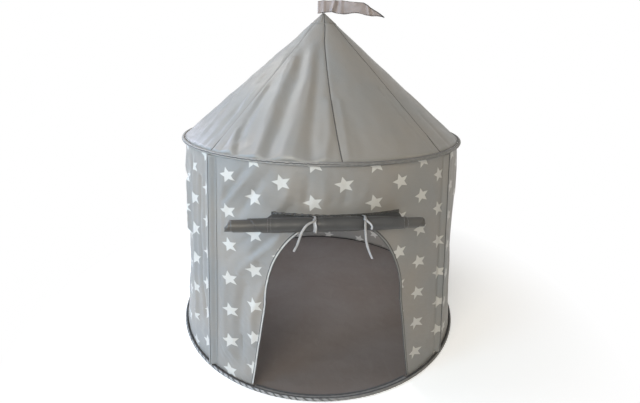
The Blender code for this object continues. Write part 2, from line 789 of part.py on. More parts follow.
def build_flap():
    """The short free length of the door cloth, from the header's foot to the back of the roll."""
    header_face = wall_straight_radius(HEADER_BOTTOM) + GAP + HEADER_CLOTH / 2
    top_height = HEADER_BOTTOM - FLAP_BELOW_HEADER
    start_angle = math.radians(ROLL_START_ANGLE)
    low_y = ROLL_Y + (ROLL_RADIUS + FLAP_BEHIND_ROLL) * math.cos(start_angle)
    low_height = ROLL_HEIGHT + ROLL_RADIUS * math.sin(start_angle) + FLAP_ABOVE_ROLL
    low_row = []
    high_row = []
    for x in np.linspace(-HEADER_HALF, HEADER_HALF, DOOR_COLUMNS):
        low_row.append((x, low_y, low_height))
        high_row.append((x, -math.sqrt(header_face**2 - x**2), top_height))
    flap = add_object("door_flap", grid_mesh("door_flap", [low_row, high_row]), DARK_CLOTH)
    thicken(flap, ROLL_CLOTH, 0.0)


def roll_radius(share):
    """Centreline radius of the winding after a share of its turns, drawn in by the same step each turn."""
    return ROLL_RADIUS + (ROLL_CORE_RADIUS - ROLL_RADIUS) * share


def roll_length_share(share):
    """Share of the cloth's length that is used up after a share of the turns."""
    outer = roll_radius(0.0)
    core = roll_radius(1.0)
    return (outer**2 - roll_radius(share) ** 2) / (outer**2 - core**2)


def roll_sides(share):
    """Left and right edge of the cloth: narrow at its top, wider below, and wound a little askew."""
    used = roll_length_share(share)
    half = ROLL_HALF_OUTER + (ROLL_HALF_INNER - ROLL_HALF_OUTER) * smoothstep((used - 0.05) / 0.40)
    shift = ROLL_SKEW * smoothstep(used / 0.20)
    return shift - half, shift + half


def roll_pinch(x):
    """How far the ties draw the roll in, as a scale on its radius."""
    drawn = sum(math.exp(-(((x - place) / ROLL_PINCH_WIDTH) ** 2)) for place in TIE_PLACES.values())
    return 1.0 - ROLL_PINCH * drawn


def roll_stations(left, right):
    """Places across the cloth: its edges, the ties, and the full roll beside and between them."""
    tie_left = TIE_PLACES["left"]
    tie_right = TIE_PLACES["right"]
    middle = (tie_left + tie_right) / 2
    return [
        left, tie_left - ROLL_BESIDE_TIE, tie_left, middle, tie_right, tie_right + ROLL_BESIDE_TIE, right,
    ]


def build_roll():
    """The door cloth wound up into an open spiral: one sheet, its edges stepped at the ends."""
    count = round(ROLL_TURNS * ROLL_POINTS_A_TURN)
    rows = []
    for step in range(count + 1):
        share = step / count
        angle = math.radians(ROLL_START_ANGLE) - 2.0 * math.pi * ROLL_TURNS * share
        row = []
        for x in roll_stations(*roll_sides(share)):
            radius = roll_radius(share) * roll_pinch(x)
            row.append((x, ROLL_Y + radius * math.cos(angle), ROLL_HEIGHT + radius * math.sin(angle)))
        rows.append(row)
    roll = add_object("door_roll", grid_mesh("door_roll", rows), DARK_CLOTH)
    thicken(roll, ROLL_CLOTH, 0.0)
    print(f"door_roll least gap between turns: {least_roll_gap(rows) * 1000:.2f} mm")


def least_roll_gap(rows):
    """Least distance between turns, point to facet on the tied section, less the cloth's thickness."""
    least = 1.0
    section = [Vector((0.0, row[2][1], row[2][2])) for row in rows]
    for step, point in enumerate(section):
        first = step + ROLL_POINTS_A_TURN // 2
        for start, end in zip(section[first:], section[first + 1:]):
            along = end - start
            share = min(1.0, max(0.0, (point - start).dot(along) / along.length_squared))
            least = min(least, (start + along * share - point).length)
    gap = least - ROLL_CLOTH
    if gap <= LEAST_ROLL_GAP:
        raise ValueError("the turns of the roll are too close")
    return gap


def ribbon_mesh(name, route, width, lean):
    """A flat band along a route, its width across the route and nearest to the lean direction."""
    rows = []
    for index, point in enumerate(route):
        before = route[max(0, index - 1)]
        after = route[min(len(route) - 1, index + 1)]
        along = (after - before).normalized()
        across = (lean - along * lean.dot(along)).normalized() * width / 2
        rows.append([point - across, point + across])
    return grid_mesh(name, rows)


def tie_strap_route(x):
    """From the header's face, over the roll's front and under it, to end close behind it."""
    tight = ROLL_RADIUS * (1.0 - ROLL_PINCH) + (ROLL_CLOTH + TIE_CLOTH) / 2 + TIE_CLEARANCE
    header_radius = wall_straight_radius(TIE_SEWN_HEIGHT) + GAP + HEADER_CLOTH
    header_face = -math.sqrt(header_radius**2 - x**2)
    points = [(x, header_face - TIE_OFF_HEADER, TIE_SEWN_HEIGHT)]
    for angle in TIE_ANGLES:
        turn = math.radians(angle)
        points.append((x, ROLL_Y + tight * math.cos(turn), ROLL_HEIGHT + tight * math.sin(turn)))
    return smooth_route(points, 2)


def build_tie(side):
    """A ribbon round the roll with its knot, one hanging tail and one short loop."""
    x = TIE_PLACES[side]
    name = "door_tie_" + side
    across = Vector((1.0, 0.0, 0.0))
    strap = add_object(name, ribbon_mesh(name, tie_strap_route(x), TIE_WIDTH, across), RIBBON)
    thicken(strap, TIE_CLOTH, 0.0)
    knot_place = Vector((x, ROLL_Y - KNOT_FORWARD, ROLL_HEIGHT + KNOT_RISE))
    knot_mesh = bmesh.new()
    bmesh.ops.create_uvsphere(knot_mesh, u_segments=10, v_segments=6, radius=1.0)
    bmesh.ops.transform(knot_mesh, matrix=Matrix.Diagonal((*KNOT_SIZE, 1.0)), verts=knot_mesh.verts)
    mesh = bpy.data.meshes.new(name + "_knot")
    knot_mesh.to_mesh(mesh)
    knot_mesh.free()
    knot = add_cutter(name + "_knot", mesh)
    knot.location = knot_place
    boolean(strap, knot, "UNION")
    for part, points in (("tail", TIE_TAILS[side]), ("loop", TIE_LOOPS[side])):
        route = smooth_route([knot_place + Vector(p) for p in points], 3)
        band = add_cutter(
            f"{name}_{part}", ribbon_mesh(f"{name}_{part}", route, TIE_WIDTH * 0.85, across)
        )
        thicken(band, TIE_CLOTH, 0.0)
        boolean(strap, band, "UNION")


def build_door():
    build_arch_tape()
    build_header()
    build_flap()
    build_roll()
    build_tie("left")
    build_tie("right")


def main():
    build_floor()
    build_hoop("base", BASE_RADIUS, BINDING_RADIUS + GAP)
    build_hoop("eaves", EAVES_RADIUS, EAVES_HEIGHT)
    build_walls()
    for place, azimuth in POLE_AZIMUTHS.items():
        build_sleeve(place, azimuth)
        build_wall_pole(place, azimuth)
        build_roof_pole(place, azimuth)
    for number in range(GORE_COUNT):
        build_gore(number + 1, -GORE_SPAN + GORE_SPAN * number)
    build_roof_cap()
    build_hub()
    build_flag()
    build_door()


main()
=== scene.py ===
import math
from functools import partialmethod

import bmesh
import bpy
import numpy as np
from bpy.props import FloatProperty, FloatVectorProperty, PointerProperty
from bpy.types import Operator, Panel, PropertyGroup
from mathutils import Matrix, Vector


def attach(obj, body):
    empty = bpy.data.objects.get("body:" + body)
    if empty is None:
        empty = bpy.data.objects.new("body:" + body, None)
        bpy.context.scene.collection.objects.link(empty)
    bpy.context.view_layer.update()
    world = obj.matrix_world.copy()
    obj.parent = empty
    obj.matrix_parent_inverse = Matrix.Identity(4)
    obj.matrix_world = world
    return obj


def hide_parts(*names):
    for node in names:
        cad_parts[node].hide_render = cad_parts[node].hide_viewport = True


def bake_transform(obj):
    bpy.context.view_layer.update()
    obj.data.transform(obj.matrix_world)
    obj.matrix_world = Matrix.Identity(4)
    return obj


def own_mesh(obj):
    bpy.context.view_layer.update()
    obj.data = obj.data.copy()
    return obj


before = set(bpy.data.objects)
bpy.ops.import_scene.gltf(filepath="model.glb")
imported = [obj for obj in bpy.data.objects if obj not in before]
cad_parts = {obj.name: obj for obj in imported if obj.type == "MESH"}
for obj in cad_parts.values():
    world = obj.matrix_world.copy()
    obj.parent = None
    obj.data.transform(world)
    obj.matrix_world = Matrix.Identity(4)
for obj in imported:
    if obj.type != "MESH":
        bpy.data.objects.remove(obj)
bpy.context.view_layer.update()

bl_info = {
    "name": "Play Tent",
    "version": (1, 0, 0),
    "blender": (4, 5, 0),
    "location": "View3D > Sidebar > Play Tent",
    "description": "Dresses the hooped play tent in its sewn cloth, bindings, ties and flag",
    "category": "Object",
}

# Hoops, wall and roof, as in the frame
BASE_RADIUS = 0.565
EAVES_RADIUS = 0.525
EAVES_HEIGHT = 0.7345
HOOP_TUBE = 0.0055
WALL_BOTTOM = 0.009
WALL_TOP = 0.7335
WALL_FOOT_RADIUS = 0.5535
WALL_HEAD_RADIUS = 0.513
APEX_HEIGHT = 1.1785
ROOF_FOOT_RADIUS = 0.5138
ROOF_FOOT_HEIGHT = 0.7385
ROOF_PITCH = math.atan2(APEX_HEIGHT - ROOF_FOOT_HEIGHT, ROOF_FOOT_RADIUS)
FLOOR_RADIUS = 0.553
FLOOR_RIM = 0.5570
POLE_AZIMUTHS = {"front_left": -45.0, "front_right": 45.0, "back_right": 135.0, "back_left": -135.0}
SLEEVE_RISE = 0.0122
SLEEVE_FLANGE = 0.0250
SLEEVE_SEAMS = {"front_left": 0.0020, "front_right": -0.0040, "back_left": 0.0, "back_right": 0.0}

# Print: radius that it's laid out on, shifts of the side cloths, and the stars' lattice and shape
PRINT_RADIUS = 0.537
LEFT_PRINT = (0.0200, 0.004)
RIGHT_PRINT = (-0.0180, 0.008)
STAR_START, EVEN_ROW, ODD_ROW = 0.0170, 0.6744, 0.7261
STAR_TILT, STAR_WAIST = 16.0, 0.46
STAR_STRETCH = (1.06, 0.86)

# Door
ARCH_FOOT_HALF = 0.250
ARCH_SPRING_HALF = 0.205
ARCH_SPRING_HEIGHT = 0.300
ARCH_TOP = 0.576
HEADER_HALF = 0.181
HEADER_BOTTOM = 0.586
HEADER_TOP = 0.5945
ROLL_HEIGHT = 0.577
ROLL_Y = -0.5462
ROLL_RADIUS = 0.0204
ROLL_CORE_RADIUS = 0.0042
ROLL_TURNS = 6.5
ROLL_START_ANGLE = 10.0
ROLL_HALF_OUTER = 0.1925
ROLL_HALF_INNER = 0.265
ROLL_SKEW = -0.030
TIE_PLACES = {"left": -0.0655, "right": 0.0700}
DOOR_TRAVEL = 0.53

# Flag
FLAG_BOTTOM = 1.1781
FLAG_TOP = 1.2205
FLAG_HEIGHT = FLAG_TOP - FLAG_BOTTOM
FLAG_LENGTH = 0.231
FLAG_SLANT_START = 0.150
FLAG_POCKET = (-0.0220, 0.0300)
STICK_RADIUS = 0.0025

# Camera, in metres and degrees
CAMERA_DISTANCE = 1.4563
CAMERA_HEIGHT = 0.9810
CAMERA_YAW = 5.3
CAMERA_PITCH = 14.75
CAMERA_ROLL = 1.00
CAMERA_LENS = 20.63
CAMERA_SHIFT = (-0.00146, -0.05785)

FULL_TURN = 2.0 * math.pi
WHITE = (1.0, 1.0, 1.0)


def size_property(name, description, default):
    return FloatProperty(name=name, description=description, default=default, unit="LENGTH")


def colour_property(name, description, default):
    return FloatVectorProperty(
        name=name, description=description, subtype="COLOR", size=3, min=0.0, max=1.0, default=default
    )


class TentSizes(PropertyGroup):
    """Sizes of the cloth's details, in metres."""

    cloth: size_property("Cloth", "Thickness of the wall and roof cloth", 0.0008)
    star_radius: size_property("Star", "Centre to tip of a printed star", 0.0285)
    star_column: size_property("Star columns", "Distance between columns of stars", 0.0893)
    star_row: size_property("Star rows", "Distance between the stars of one column", 0.108)
    pucker: size_property("Pucker", "Height of the puckers beside the hoops", 0.0010)
    fold_scale: FloatProperty(
        name="Folds", description="Share of the full depth of the soft folds", default=1.0, subtype="FACTOR"
    )
    stitch_pitch: size_property("Stitch pitch", "Distance between stitches", 0.0042)
    stitch_length: size_property("Stitch", "Length of one stitch", 0.0029)
    ribbon_width: size_property("Ribbon", "Width of the tie ribbons", 0.0072)
    arch_tape: size_property("Door tape", "Width of the tape round the doorway", 0.0090)


class TentColours(PropertyGroup):
    """Colours of the cloths and fittings."""

    wall: colour_property("Wall", "Ground colour of the printed wall cloth", (0.318, 0.306, 0.288))
    star: colour_property("Stars", "Colour of the printed stars", (0.640, 0.630, 0.600))
    roof: colour_property("Roof", "Plain satin roof cloth", (0.318, 0.312, 0.298))
    tape: colour_property("Tape", "Middle of the binding tapes", (0.190, 0.187, 0.180))
    # Besides the tapes' real edges and the flag's trim, this colour is painted as shade on the hoop tapes'
    # tubes.
    dark_edge_and_shade: colour_property("Tape edge", "Folded edges of the binding tapes", (0.050, 0.050, 0.050))
    dark: colour_property("Door", "Dark cloth of the door", (0.045, 0.044, 0.0425))
    # Also painted on the roll's underside as warm light.
    dark_brown_ends_and_underside: colour_property("Door ends", "Browner inner turns of the door cloth", (0.066, 0.060, 0.052))
    floor: colour_property("Floor", "Coated floor cloth", (0.122, 0.108, 0.102))
    flag: colour_property("Flag", "Mauve-grey flag cloth", (0.390, 0.345, 0.340))
    ribbon: colour_property("Ribbon", "Silver-grey ties", (0.400, 0.400, 0.405))
    thread: colour_property("Thread", "Light sewing thread", (0.480, 0.470, 0.450))
    pole: colour_property("Poles", "White plastic poles", (0.760, 0.760, 0.740))
    fitting: colour_property("Fittings", "Black moulded fittings", (0.028, 0.028, 0.029))
    wire: colour_property("Hoops", "Coated spring wire", (0.330, 0.330, 0.340))


def sizes():
    return bpy.context.scene.tent_sizes


# Shapes of numbers


def lerp(low, high, share):
    return low + (high - low) * share


def smoothstep(value):
    value = np.clip(value, 0.0, 1.0)
    return value * value * (3.0 - 2.0 * value)


def bell(value, width):
    return np.exp(-((value / width) ** 2))


def pile(*parts):
    """The parts side by side on a new last axis, stretched to a common shape."""
    return np.stack(np.broadcast_arrays(*parts), axis=-1)


def unit(vectors):
    return vectors / np.maximum(np.linalg.norm(vectors, axis=-1, keepdims=True), 1e-12)


def polar(azimuth, radius, height):
    """Places by azimuth in degrees from the door, radius and height."""
    angle = np.radians(azimuth)
    return pile(radius * np.sin(angle), -radius * np.cos(angle), height)


def ripple(across, up, wavelength, seed, count=7):
    """Smooth waves of mixed directions, between about -1 and 1."""
    draw = np.random.default_rng(seed)
    total = 0.0
    for _ in range(count):
        heading = draw.uniform(0.0, math.pi)
        stretch = draw.uniform(0.7, 1.5)
        phase = draw.uniform(0.0, FULL_TURN)
        turn = FULL_TURN / (wavelength * stretch)
        total = total + np.sin(turn * (across * math.cos(heading) + up * math.sin(heading)) + phase)
    return total / math.sqrt(count * 2.0)


def ridge(points, line, width):
    """How near each point is to a broken line, 1 on it and fading to 0 over the width."""
    best = np.zeros(points.shape[:-1])
    for start, end in zip(line[:-1], line[1:]):
        along = end - start
        share = np.clip(((points - start) @ along) / (along @ along), 0.0, 1.0)
        away = np.linalg.norm(points - start - share[..., None] * along, axis=-1)
        best = np.maximum(best, bell(away, width))
    return best


def fold_relief(table, points, place):
    """Rise of the folds at the points. A row has a line's places in pairs, then its rise and width."""
    relief = np.zeros(points.shape[:-1])
    for *pairs, rise, width in table:
        line = np.array([place(*pair) for pair in zip(pairs[::2], pairs[1::2])])
        relief += rise * ridge(points, line, width)
    return relief * sizes().fold_scale


def lengths(line):
    """Distance along a line at each of its points."""
    return np.concatenate([[0.0], np.cumsum(np.linalg.norm(np.diff(line, axis=0), axis=1))])


def at_lengths(at, length, line):
    return np.stack([np.interp(at, length, column) for column in line.T], axis=-1)


def sampled(line, shares):
    length = lengths(line)
    return at_lengths(np.asarray(shares) * length[-1], length, line)


def smooth_route(points, per_span):
    """Points on a Catmull-Rom curve through the given points."""
    knots = [np.array(p, float) for p in points]
    knots = [2 * knots[0] - knots[1], *knots, 2 * knots[-1] - knots[-2]]
    route = []
    for a, b, c, d in zip(knots, knots[1:], knots[2:], knots[3:]):
        for step in range(per_span):
            t = step / per_span
            bend = (2 * a - 5 * b + 4 * c - d) * t**2 + (3 * b - a - 3 * c + d) * t**3
            route.append(0.5 * (2 * b + (c - a) * t + bend))
    return np.array([*route, knots[-2]])


def mirrored(*half):
    """A band's section from its left half's (across, out) points."""
    return [(-across, out) for across, out in half] + [(across, out) for across, out in reversed(half)]


# Meshes


def deselect_all():
    if bpy.context.mode != "OBJECT":
        bpy.ops.object.mode_set(mode="OBJECT")
    bpy.ops.object.select_all(action="DESELECT")


def select_only(obj):
    deselect_all()
    obj.select_set(True)
    bpy.context.view_layer.objects.active = obj


def primitive(add, name, **settings):
    """One of Blender's mesh primitives, named."""
    deselect_all()
    add(**settings)
    obj = bpy.context.object
    obj.name = name
    obj.data.name = name
    return obj


def edit_all():
    bpy.ops.object.mode_set(mode="EDIT")
    bpy.ops.mesh.select_all(action="SELECT")


def end_edit():
    bpy.ops.object.mode_set(mode="OBJECT")


def new_object(name, data):
    obj = bpy.data.objects.new(name, data)
    bpy.context.scene.collection.objects.link(obj)
    return obj


def new_mesh(name, points, faces, material):
    mesh = bpy.data.meshes.new(name)
    mesh.from_pydata(points.reshape(-1, 3).tolist(), [], faces.tolist())
    mesh.materials.append(material)
    return mesh


def change_mesh(mesh, change):
    changed = bmesh.new()
    changed.from_mesh(mesh)
    change(changed)
    changed.to_mesh(mesh)
    changed.free()


def weld(obj):
    """Joins points that coincide, such as the two ends of a closed band."""
    change_mesh(obj.data, lambda made: bmesh.ops.remove_doubles(made, verts=made.verts, dist=1e-5))


def mesh_points(obj):
    points = np.zeros(len(obj.data.vertices) * 3, np.float32)
    obj.data.vertices.foreach_get("co", points)
    return points.reshape(-1, 3).astype(float)


def set_mesh_points(obj, points):
    obj.data.vertices.foreach_set("co", points.astype(np.float32).ravel())
    obj.data.update()


def set_cloth_uv(obj, place):
    """Makes one UV layer, with each corner at what the function gives for its point."""
    while obj.data.uv_layers:
        obj.data.uv_layers.remove(obj.data.uv_layers[0])
    layer = obj.data.uv_layers.new(name="cloth")
    for loop in obj.data.loops:
        layer.data[loop.index].uv = place(obj.data.vertices[loop.vertex_index].co)


def sheet(name, points, cloth, material):
    """A sheet through rows and columns of points, with each point's place on the flat cloth as its UV."""
    rows, columns = points.shape[:2]
    index = np.arange(rows * columns).reshape(rows, columns)
    faces = np.stack([index[:-1, :-1], index[:-1, 1:], index[1:, 1:], index[1:, :-1]], axis=-1).reshape(-1, 4)
    mesh = new_mesh(name, points, faces, material)
    layer = mesh.uv_layers.new(name="cloth")
    layer.data.foreach_set("uv", cloth.reshape(-1, 2)[faces.ravel()].astype(np.float32).ravel())
    obj = new_object(name, mesh)
    mesh.shade_smooth()
    return obj


def band(name, route, outward, section, material):
    """Sweeps an open section of (across, out) points along a route. The UV is (length, share across)."""
    along = unit(np.gradient(route, axis=0))
    out = unit(outward - along * np.sum(outward * along, axis=1, keepdims=True))
    across = np.cross(along, out)
    section = np.asarray(section, float)
    if section.ndim == 2:
        section = section[None]
    points = route[:, None] + across[:, None] * section[..., 0, None] + out[:, None] * section[..., 1, None]
    share = lengths(section[0])
    cloth = pile(*np.meshgrid(lengths(route), share / share[-1], indexing="ij"))
    return sheet(name, points, cloth, material)


def thicken(obj, thickness, offset=-1.0):
    solid = obj.modifiers.new("thickness", "SOLIDIFY")
    solid.thickness = thickness
    solid.offset = offset
    solid.use_even_offset = False
    select_only(obj)
    bpy.ops.object.modifier_apply(modifier=solid.name)


def ride(obj, body, slot, *nodes):
    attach(obj, body)
    if nodes:
        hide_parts(*nodes)


def dress(obj, thickness, slot, *nodes, body="tent", offset=-1.0):
    """Gives a sheet its thickness and body, and hides the CAD nodes that it stands for. The slot is not used.
    """
    thicken(obj, thickness, offset)
    ride(obj, body, slot, *nodes)
    return obj


def sew(name, lines, thread, width, slot="binding_tape", body="tent"):
    """Rows of single stitches. Each line is (points, outward directions) along a seam."""
    pitch = sizes().stitch_pitch
    half = sizes().stitch_length / 2
    corners = []
    for points, outward in lines:
        length = lengths(points)
        at = np.arange(pitch / 2, length[-1], pitch)
        behind, middle, ahead = (at_lengths(at + step, length, points) for step in (-half, 0.0, half))
        out = unit(at_lengths(at, length, np.broadcast_to(outward, points.shape)))
        side = unit(np.cross(ahead - behind, out)) * width / 2
        lift = out * width * 0.6
        sink = out * width * 0.5
        places = [behind - sink, middle + side, middle + lift, middle - side, middle - sink, ahead - sink]
        corners.append(np.stack(places, axis=1))
    made = np.concatenate(corners)
    shape = [(0, 2, 1), (0, 3, 2), (0, 4, 3), (0, 1, 4), (5, 1, 2), (5, 2, 3), (5, 3, 4), (5, 4, 1)]
    faces = (np.arange(len(made))[:, None, None] * 6 + np.array(shape)[None]).reshape(-1, 3)
    mesh = new_mesh(name, made, faces, look_of(thread))
    mesh.shade_smooth()
    change_mesh(mesh, lambda changed: bmesh.ops.recalc_face_normals(changed, faces=changed.faces))
    obj = new_object(name, mesh)
    ride(obj, body, slot)
    return obj


# Nodes


class Value:
    """A node's output, which adds, multiplies and divides by the usual signs."""

    def __init__(self, nodes, socket):
        self.nodes = nodes
        self.socket = socket

    def math(self, operation, *others):
        return self.nodes.node("Math", dict(enumerate((self, *others))), operation=operation)

    __add__ = partialmethod(math, "ADD")
    __sub__ = partialmethod(math, "SUBTRACT")
    __mul__ = partialmethod(math, "MULTIPLY")
    __truediv__ = partialmethod(math, "DIVIDE")
    __abs__ = partialmethod(math, "ABSOLUTE")
    most = partialmethod(math, "MAXIMUM")
    sine = partialmethod(math, "SINE")
    cosine = partialmethod(math, "COSINE")
    rounded = partialmethod(math, "ROUND")


class Nodes:
    """Adds nodes to one tree."""

    def __init__(self, tree):
        self.tree = tree

    def feed(self, socket, value):
        if isinstance(value, Value):
            self.tree.links.new(value.socket, socket)
        elif isinstance(value, (int, float)):
            socket.default_value = value
        else:
            socket.default_value = (*value, 1.0) if len(socket.default_value) == 4 else tuple(value)

    def node(self, kind, feeds=(), output=0, **settings):
        """Adds a node, sets it, feeds its inputs and gives one of its outputs."""
        made = self.tree.nodes.new("ShaderNode" + kind)
        for name, value in settings.items():
            setattr(made, name, value)
        for name, value in dict(feeds).items():
            self.feed(made.inputs[name], value)
        return Value(self, made.outputs[output])

    def mix(self, share, first, second):
        return self.node("Mix", {"Factor": share, "A": first, "B": second}, "Result", data_type="RGBA")

    def span(self, value, low, high, to_low=0.0, to_high=1.0, kind="SMOOTHSTEP"):
        feeds = {"Value": value, "From Min": low, "From Max": high, "To Min": to_low, "To Max": to_high}
        return self.node("MapRange", feeds, "Result", interpolation_type=kind)

    def grade(self, value, low, high, first, second):
        """The first colour where the value is low, and the second where it's high."""
        return self.mix(self.span(value, low, high), first, second)

    def noise(self, vector, scale, detail=3.0, roughness=0.5, distortion=0.0):
        feeds = {"Vector": vector, "Scale": scale, "Detail": detail, "Roughness": roughness}
        return self.node("TexNoise", {**feeds, "Distortion": distortion}, "Fac")

    def stretched(self, vector, *scale):
        return self.node("VectorMath", {0: vector, 1: scale}, "Vector", operation="MULTIPLY")

    def parts(self, vector):
        return [self.node("SeparateXYZ", {0: vector}, axis) for axis in "XYZ"]

    def cloth_place(self):
        """The place on the flat cloth: the vector and its two parts."""
        vector = self.node("UVMap", output="UV", uv_map="cloth")
        return vector, *self.parts(vector)[:2]

    def object_place(self):
        vector = self.node("TexCoord", output="Object")
        return vector, *self.parts(vector)

    def bump(self, height, strength, distance, onto=None):
        feeds = {"Height": height, "Strength": strength, "Distance": distance}
        if onto:
            feeds["Normal"] = onto
        return self.node("Bump", feeds, "Normal")

    def seen_directly(self):
        """1 for rays from the camera, in reflections and through clear things."""
        camera, glossy, through = (
            self.node("LightPath", output=f"Is {ray} Ray") for ray in ("Camera", "Glossy", "Transmission")
        )
        return camera.most(glossy).most(through)


class Recipe(Nodes):
    """Builds one procedural material around a Principled shader."""

    def __init__(self, name, roughness, sheen=0.0, specular=0.3, metallic=0.0):
        self.material = bpy.data.materials.new(name)
        self.material.use_nodes = True
        super().__init__(self.material.node_tree)
        self.shader = self.tree.nodes["Principled BSDF"]
        self.roughness = roughness
        values = {
            "Sheen Weight": sheen, "Sheen Roughness": 0.4, "Specular IOR Level": specular,
            "Metallic": metallic, "Roughness": roughness,
        }
        for socket, value in values.items():
            self.shader.inputs[socket].default_value = value

    def weave(self, across, up, pitch):
        """Height of a plain weave between 0 and 1."""
        turn = math.pi / pitch
        return (across * turn).sine() * (up * turn).sine() * 0.5 + 0.5

    def done(self, colour, normal=None, roughness=None, glow=0.0):
        for name, value in (("Base Color", colour), ("Normal", normal), ("Roughness", roughness)):
            if value is not None:
                self.feed(self.shader.inputs[name], value)
        if glow:
            through = self.node("BsdfTranslucent", {"Color": colour})
            self.surface(self.node("MixShader", {0: glow, 1: self.shaded(), 2: through}))
        return self.material

    def shaded(self):
        return Value(self, self.shader.outputs[0])

    def surface(self, value):
        self.feed(self.tree.nodes["Material Output"].inputs["Surface"], value)

    def woven(self, place, colour, pitch, crumple, glow=0.0):
        """Ends a cloth: its weave on fine crumples."""
        vector, across, up = place
        creases = self.noise(vector, 46.0, 5.0, 0.55, 0.8)
        fine = self.bump(creases, crumple, 0.004)
        normal = self.bump(self.weave(across, up, pitch), 0.18, 0.0004, fine)
        roughness = self.span(creases, 0.3, 0.7, self.roughness - 0.05, self.roughness + 0.06)
        return self.done(colour, normal, roughness, glow)


def darker(colour, share):
    return tuple(part * share for part in colour)


def warmer(colour, share):
    return (colour[0] * (1.0 + share), colour[1], colour[2] * (1.0 - share))


# Looks


def star_share(recipe, across, up):
    """1 inside a printed star and 0 outside, on a lattice with every second column set half a row lower."""
    size = sizes()
    column = ((across - STAR_START) / size.star_column).rounded()
    row_start = column.math("PINGPONG", 1.0) * (ODD_ROW - EVEN_ROW) + EVEN_ROW
    row = ((row_start - up) / size.star_row).rounded()
    side = (across - STAR_START - column * size.star_column) / STAR_STRETCH[0]
    rise = (up - row_start + row * size.star_row) / STAR_STRETCH[1]
    cell = recipe.node("CombineXYZ", {"X": column, "Y": row})
    each = recipe.node("TexWhiteNoise", {"Vector": cell}, "Value", noise_dimensions="2D")
    lean = each * math.radians(9.0) + math.radians(-4.5)
    angle = rise.math("ARCTAN2", side) + (lean - math.radians(90.0 + STAR_TILT))
    point = math.radians(72.0)
    within = abs(angle.math("WRAP", point / 2, -point / 2))
    reach = (side * side + rise * rise).math("SQRT")
    tip = size.star_radius
    notch = tip * STAR_WAIST
    normal = (notch * math.sin(point / 2), tip - notch * math.cos(point / 2))
    long = math.hypot(*normal)
    limit = normal[0] * tip / long
    toward = reach * within.cosine() * (normal[0] / long) + reach * within.sine() * (normal[1] / long)
    return recipe.span(toward, limit - 0.0004, limit + 0.0004, 1.0, 0.0)


def satin_ground(recipe, vector, colour, broad, threads, pale, streaks, warmth=0.0):
    """Broad warm and cool patches, crossed by fine darker threads."""
    warm = warmer(colour, warmth + 0.035)
    cool = warmer(darker(colour, pale), warmth - 0.03)
    ground = recipe.grade(recipe.noise(vector, broad), 0.35, 0.65, warm, cool)
    slub = recipe.noise(recipe.stretched(vector, *threads), 1.0, 2.0)
    return recipe.mix(recipe.span(slub, 0.3, 0.7, 0.0, streaks[0]), ground, darker(colour, streaks[1]))


def printed_cloth(hue, name, warmth):
    """The satin with its printed stars, its ground a little warmer or cooler."""
    recipe = Recipe(name, 0.43, sheen=0.12, specular=0.45)
    place = vector, across, up = recipe.cloth_place()
    ground = satin_ground(recipe, vector, hue.wall, 5.0, (30.0, 900.0, 1.0), 0.95, (0.20, 0.80), warmth)
    ink = recipe.mix(recipe.span(recipe.noise(vector, 420.0, 2.0), 0.35, 0.75, 0.0, 0.16), hue.star, hue.wall)
    return recipe.woven(place, recipe.mix(star_share(recipe, across, up), ground, ink), 0.0011, 0.16, 0.22)


def roof_satin(hue):
    recipe = Recipe("plain_grey_satin", 0.37, sheen=0.10, specular=0.50)
    place = recipe.cloth_place()
    look = satin_ground(recipe, place[0], hue.roof, 4.0, (40.0, 700.0, 1.0), 0.96, (0.16, 0.82))
    return recipe.woven(place, look, 0.0010, 0.12, 0.16)


def edged_tape(name, middle, edge, edge_width, roughness=0.6, middle_at=0.5, right_shade=1.0):
    """Tape whose two long edges are darker, for bands with their share across as V."""
    recipe = Recipe(name, roughness, sheen=0.15)
    vector, along, share = recipe.cloth_place()
    rib = (along * (FULL_TURN / 0.0016)).sine()
    mottle = recipe.noise(recipe.stretched(vector, 1.0, 0.01, 1.0), 60.0)
    body = recipe.grade(mottle, 0.3, 0.7, middle, darker(middle, 0.80))
    # The right leg, turned away from the light on the left, is painted darker as shade.
    if right_shade < 1.0:
        body = recipe.grade(recipe.object_place()[1], -0.06, 0.10, body, darker(middle, right_shade))
    body = recipe.grade(abs(share - middle_at), 0.45 - edge_width, 0.53 - edge_width, body, edge)
    return recipe.done(body, recipe.bump(rib, 0.25, 0.0003, recipe.bump(mottle, 0.20, 0.002)))


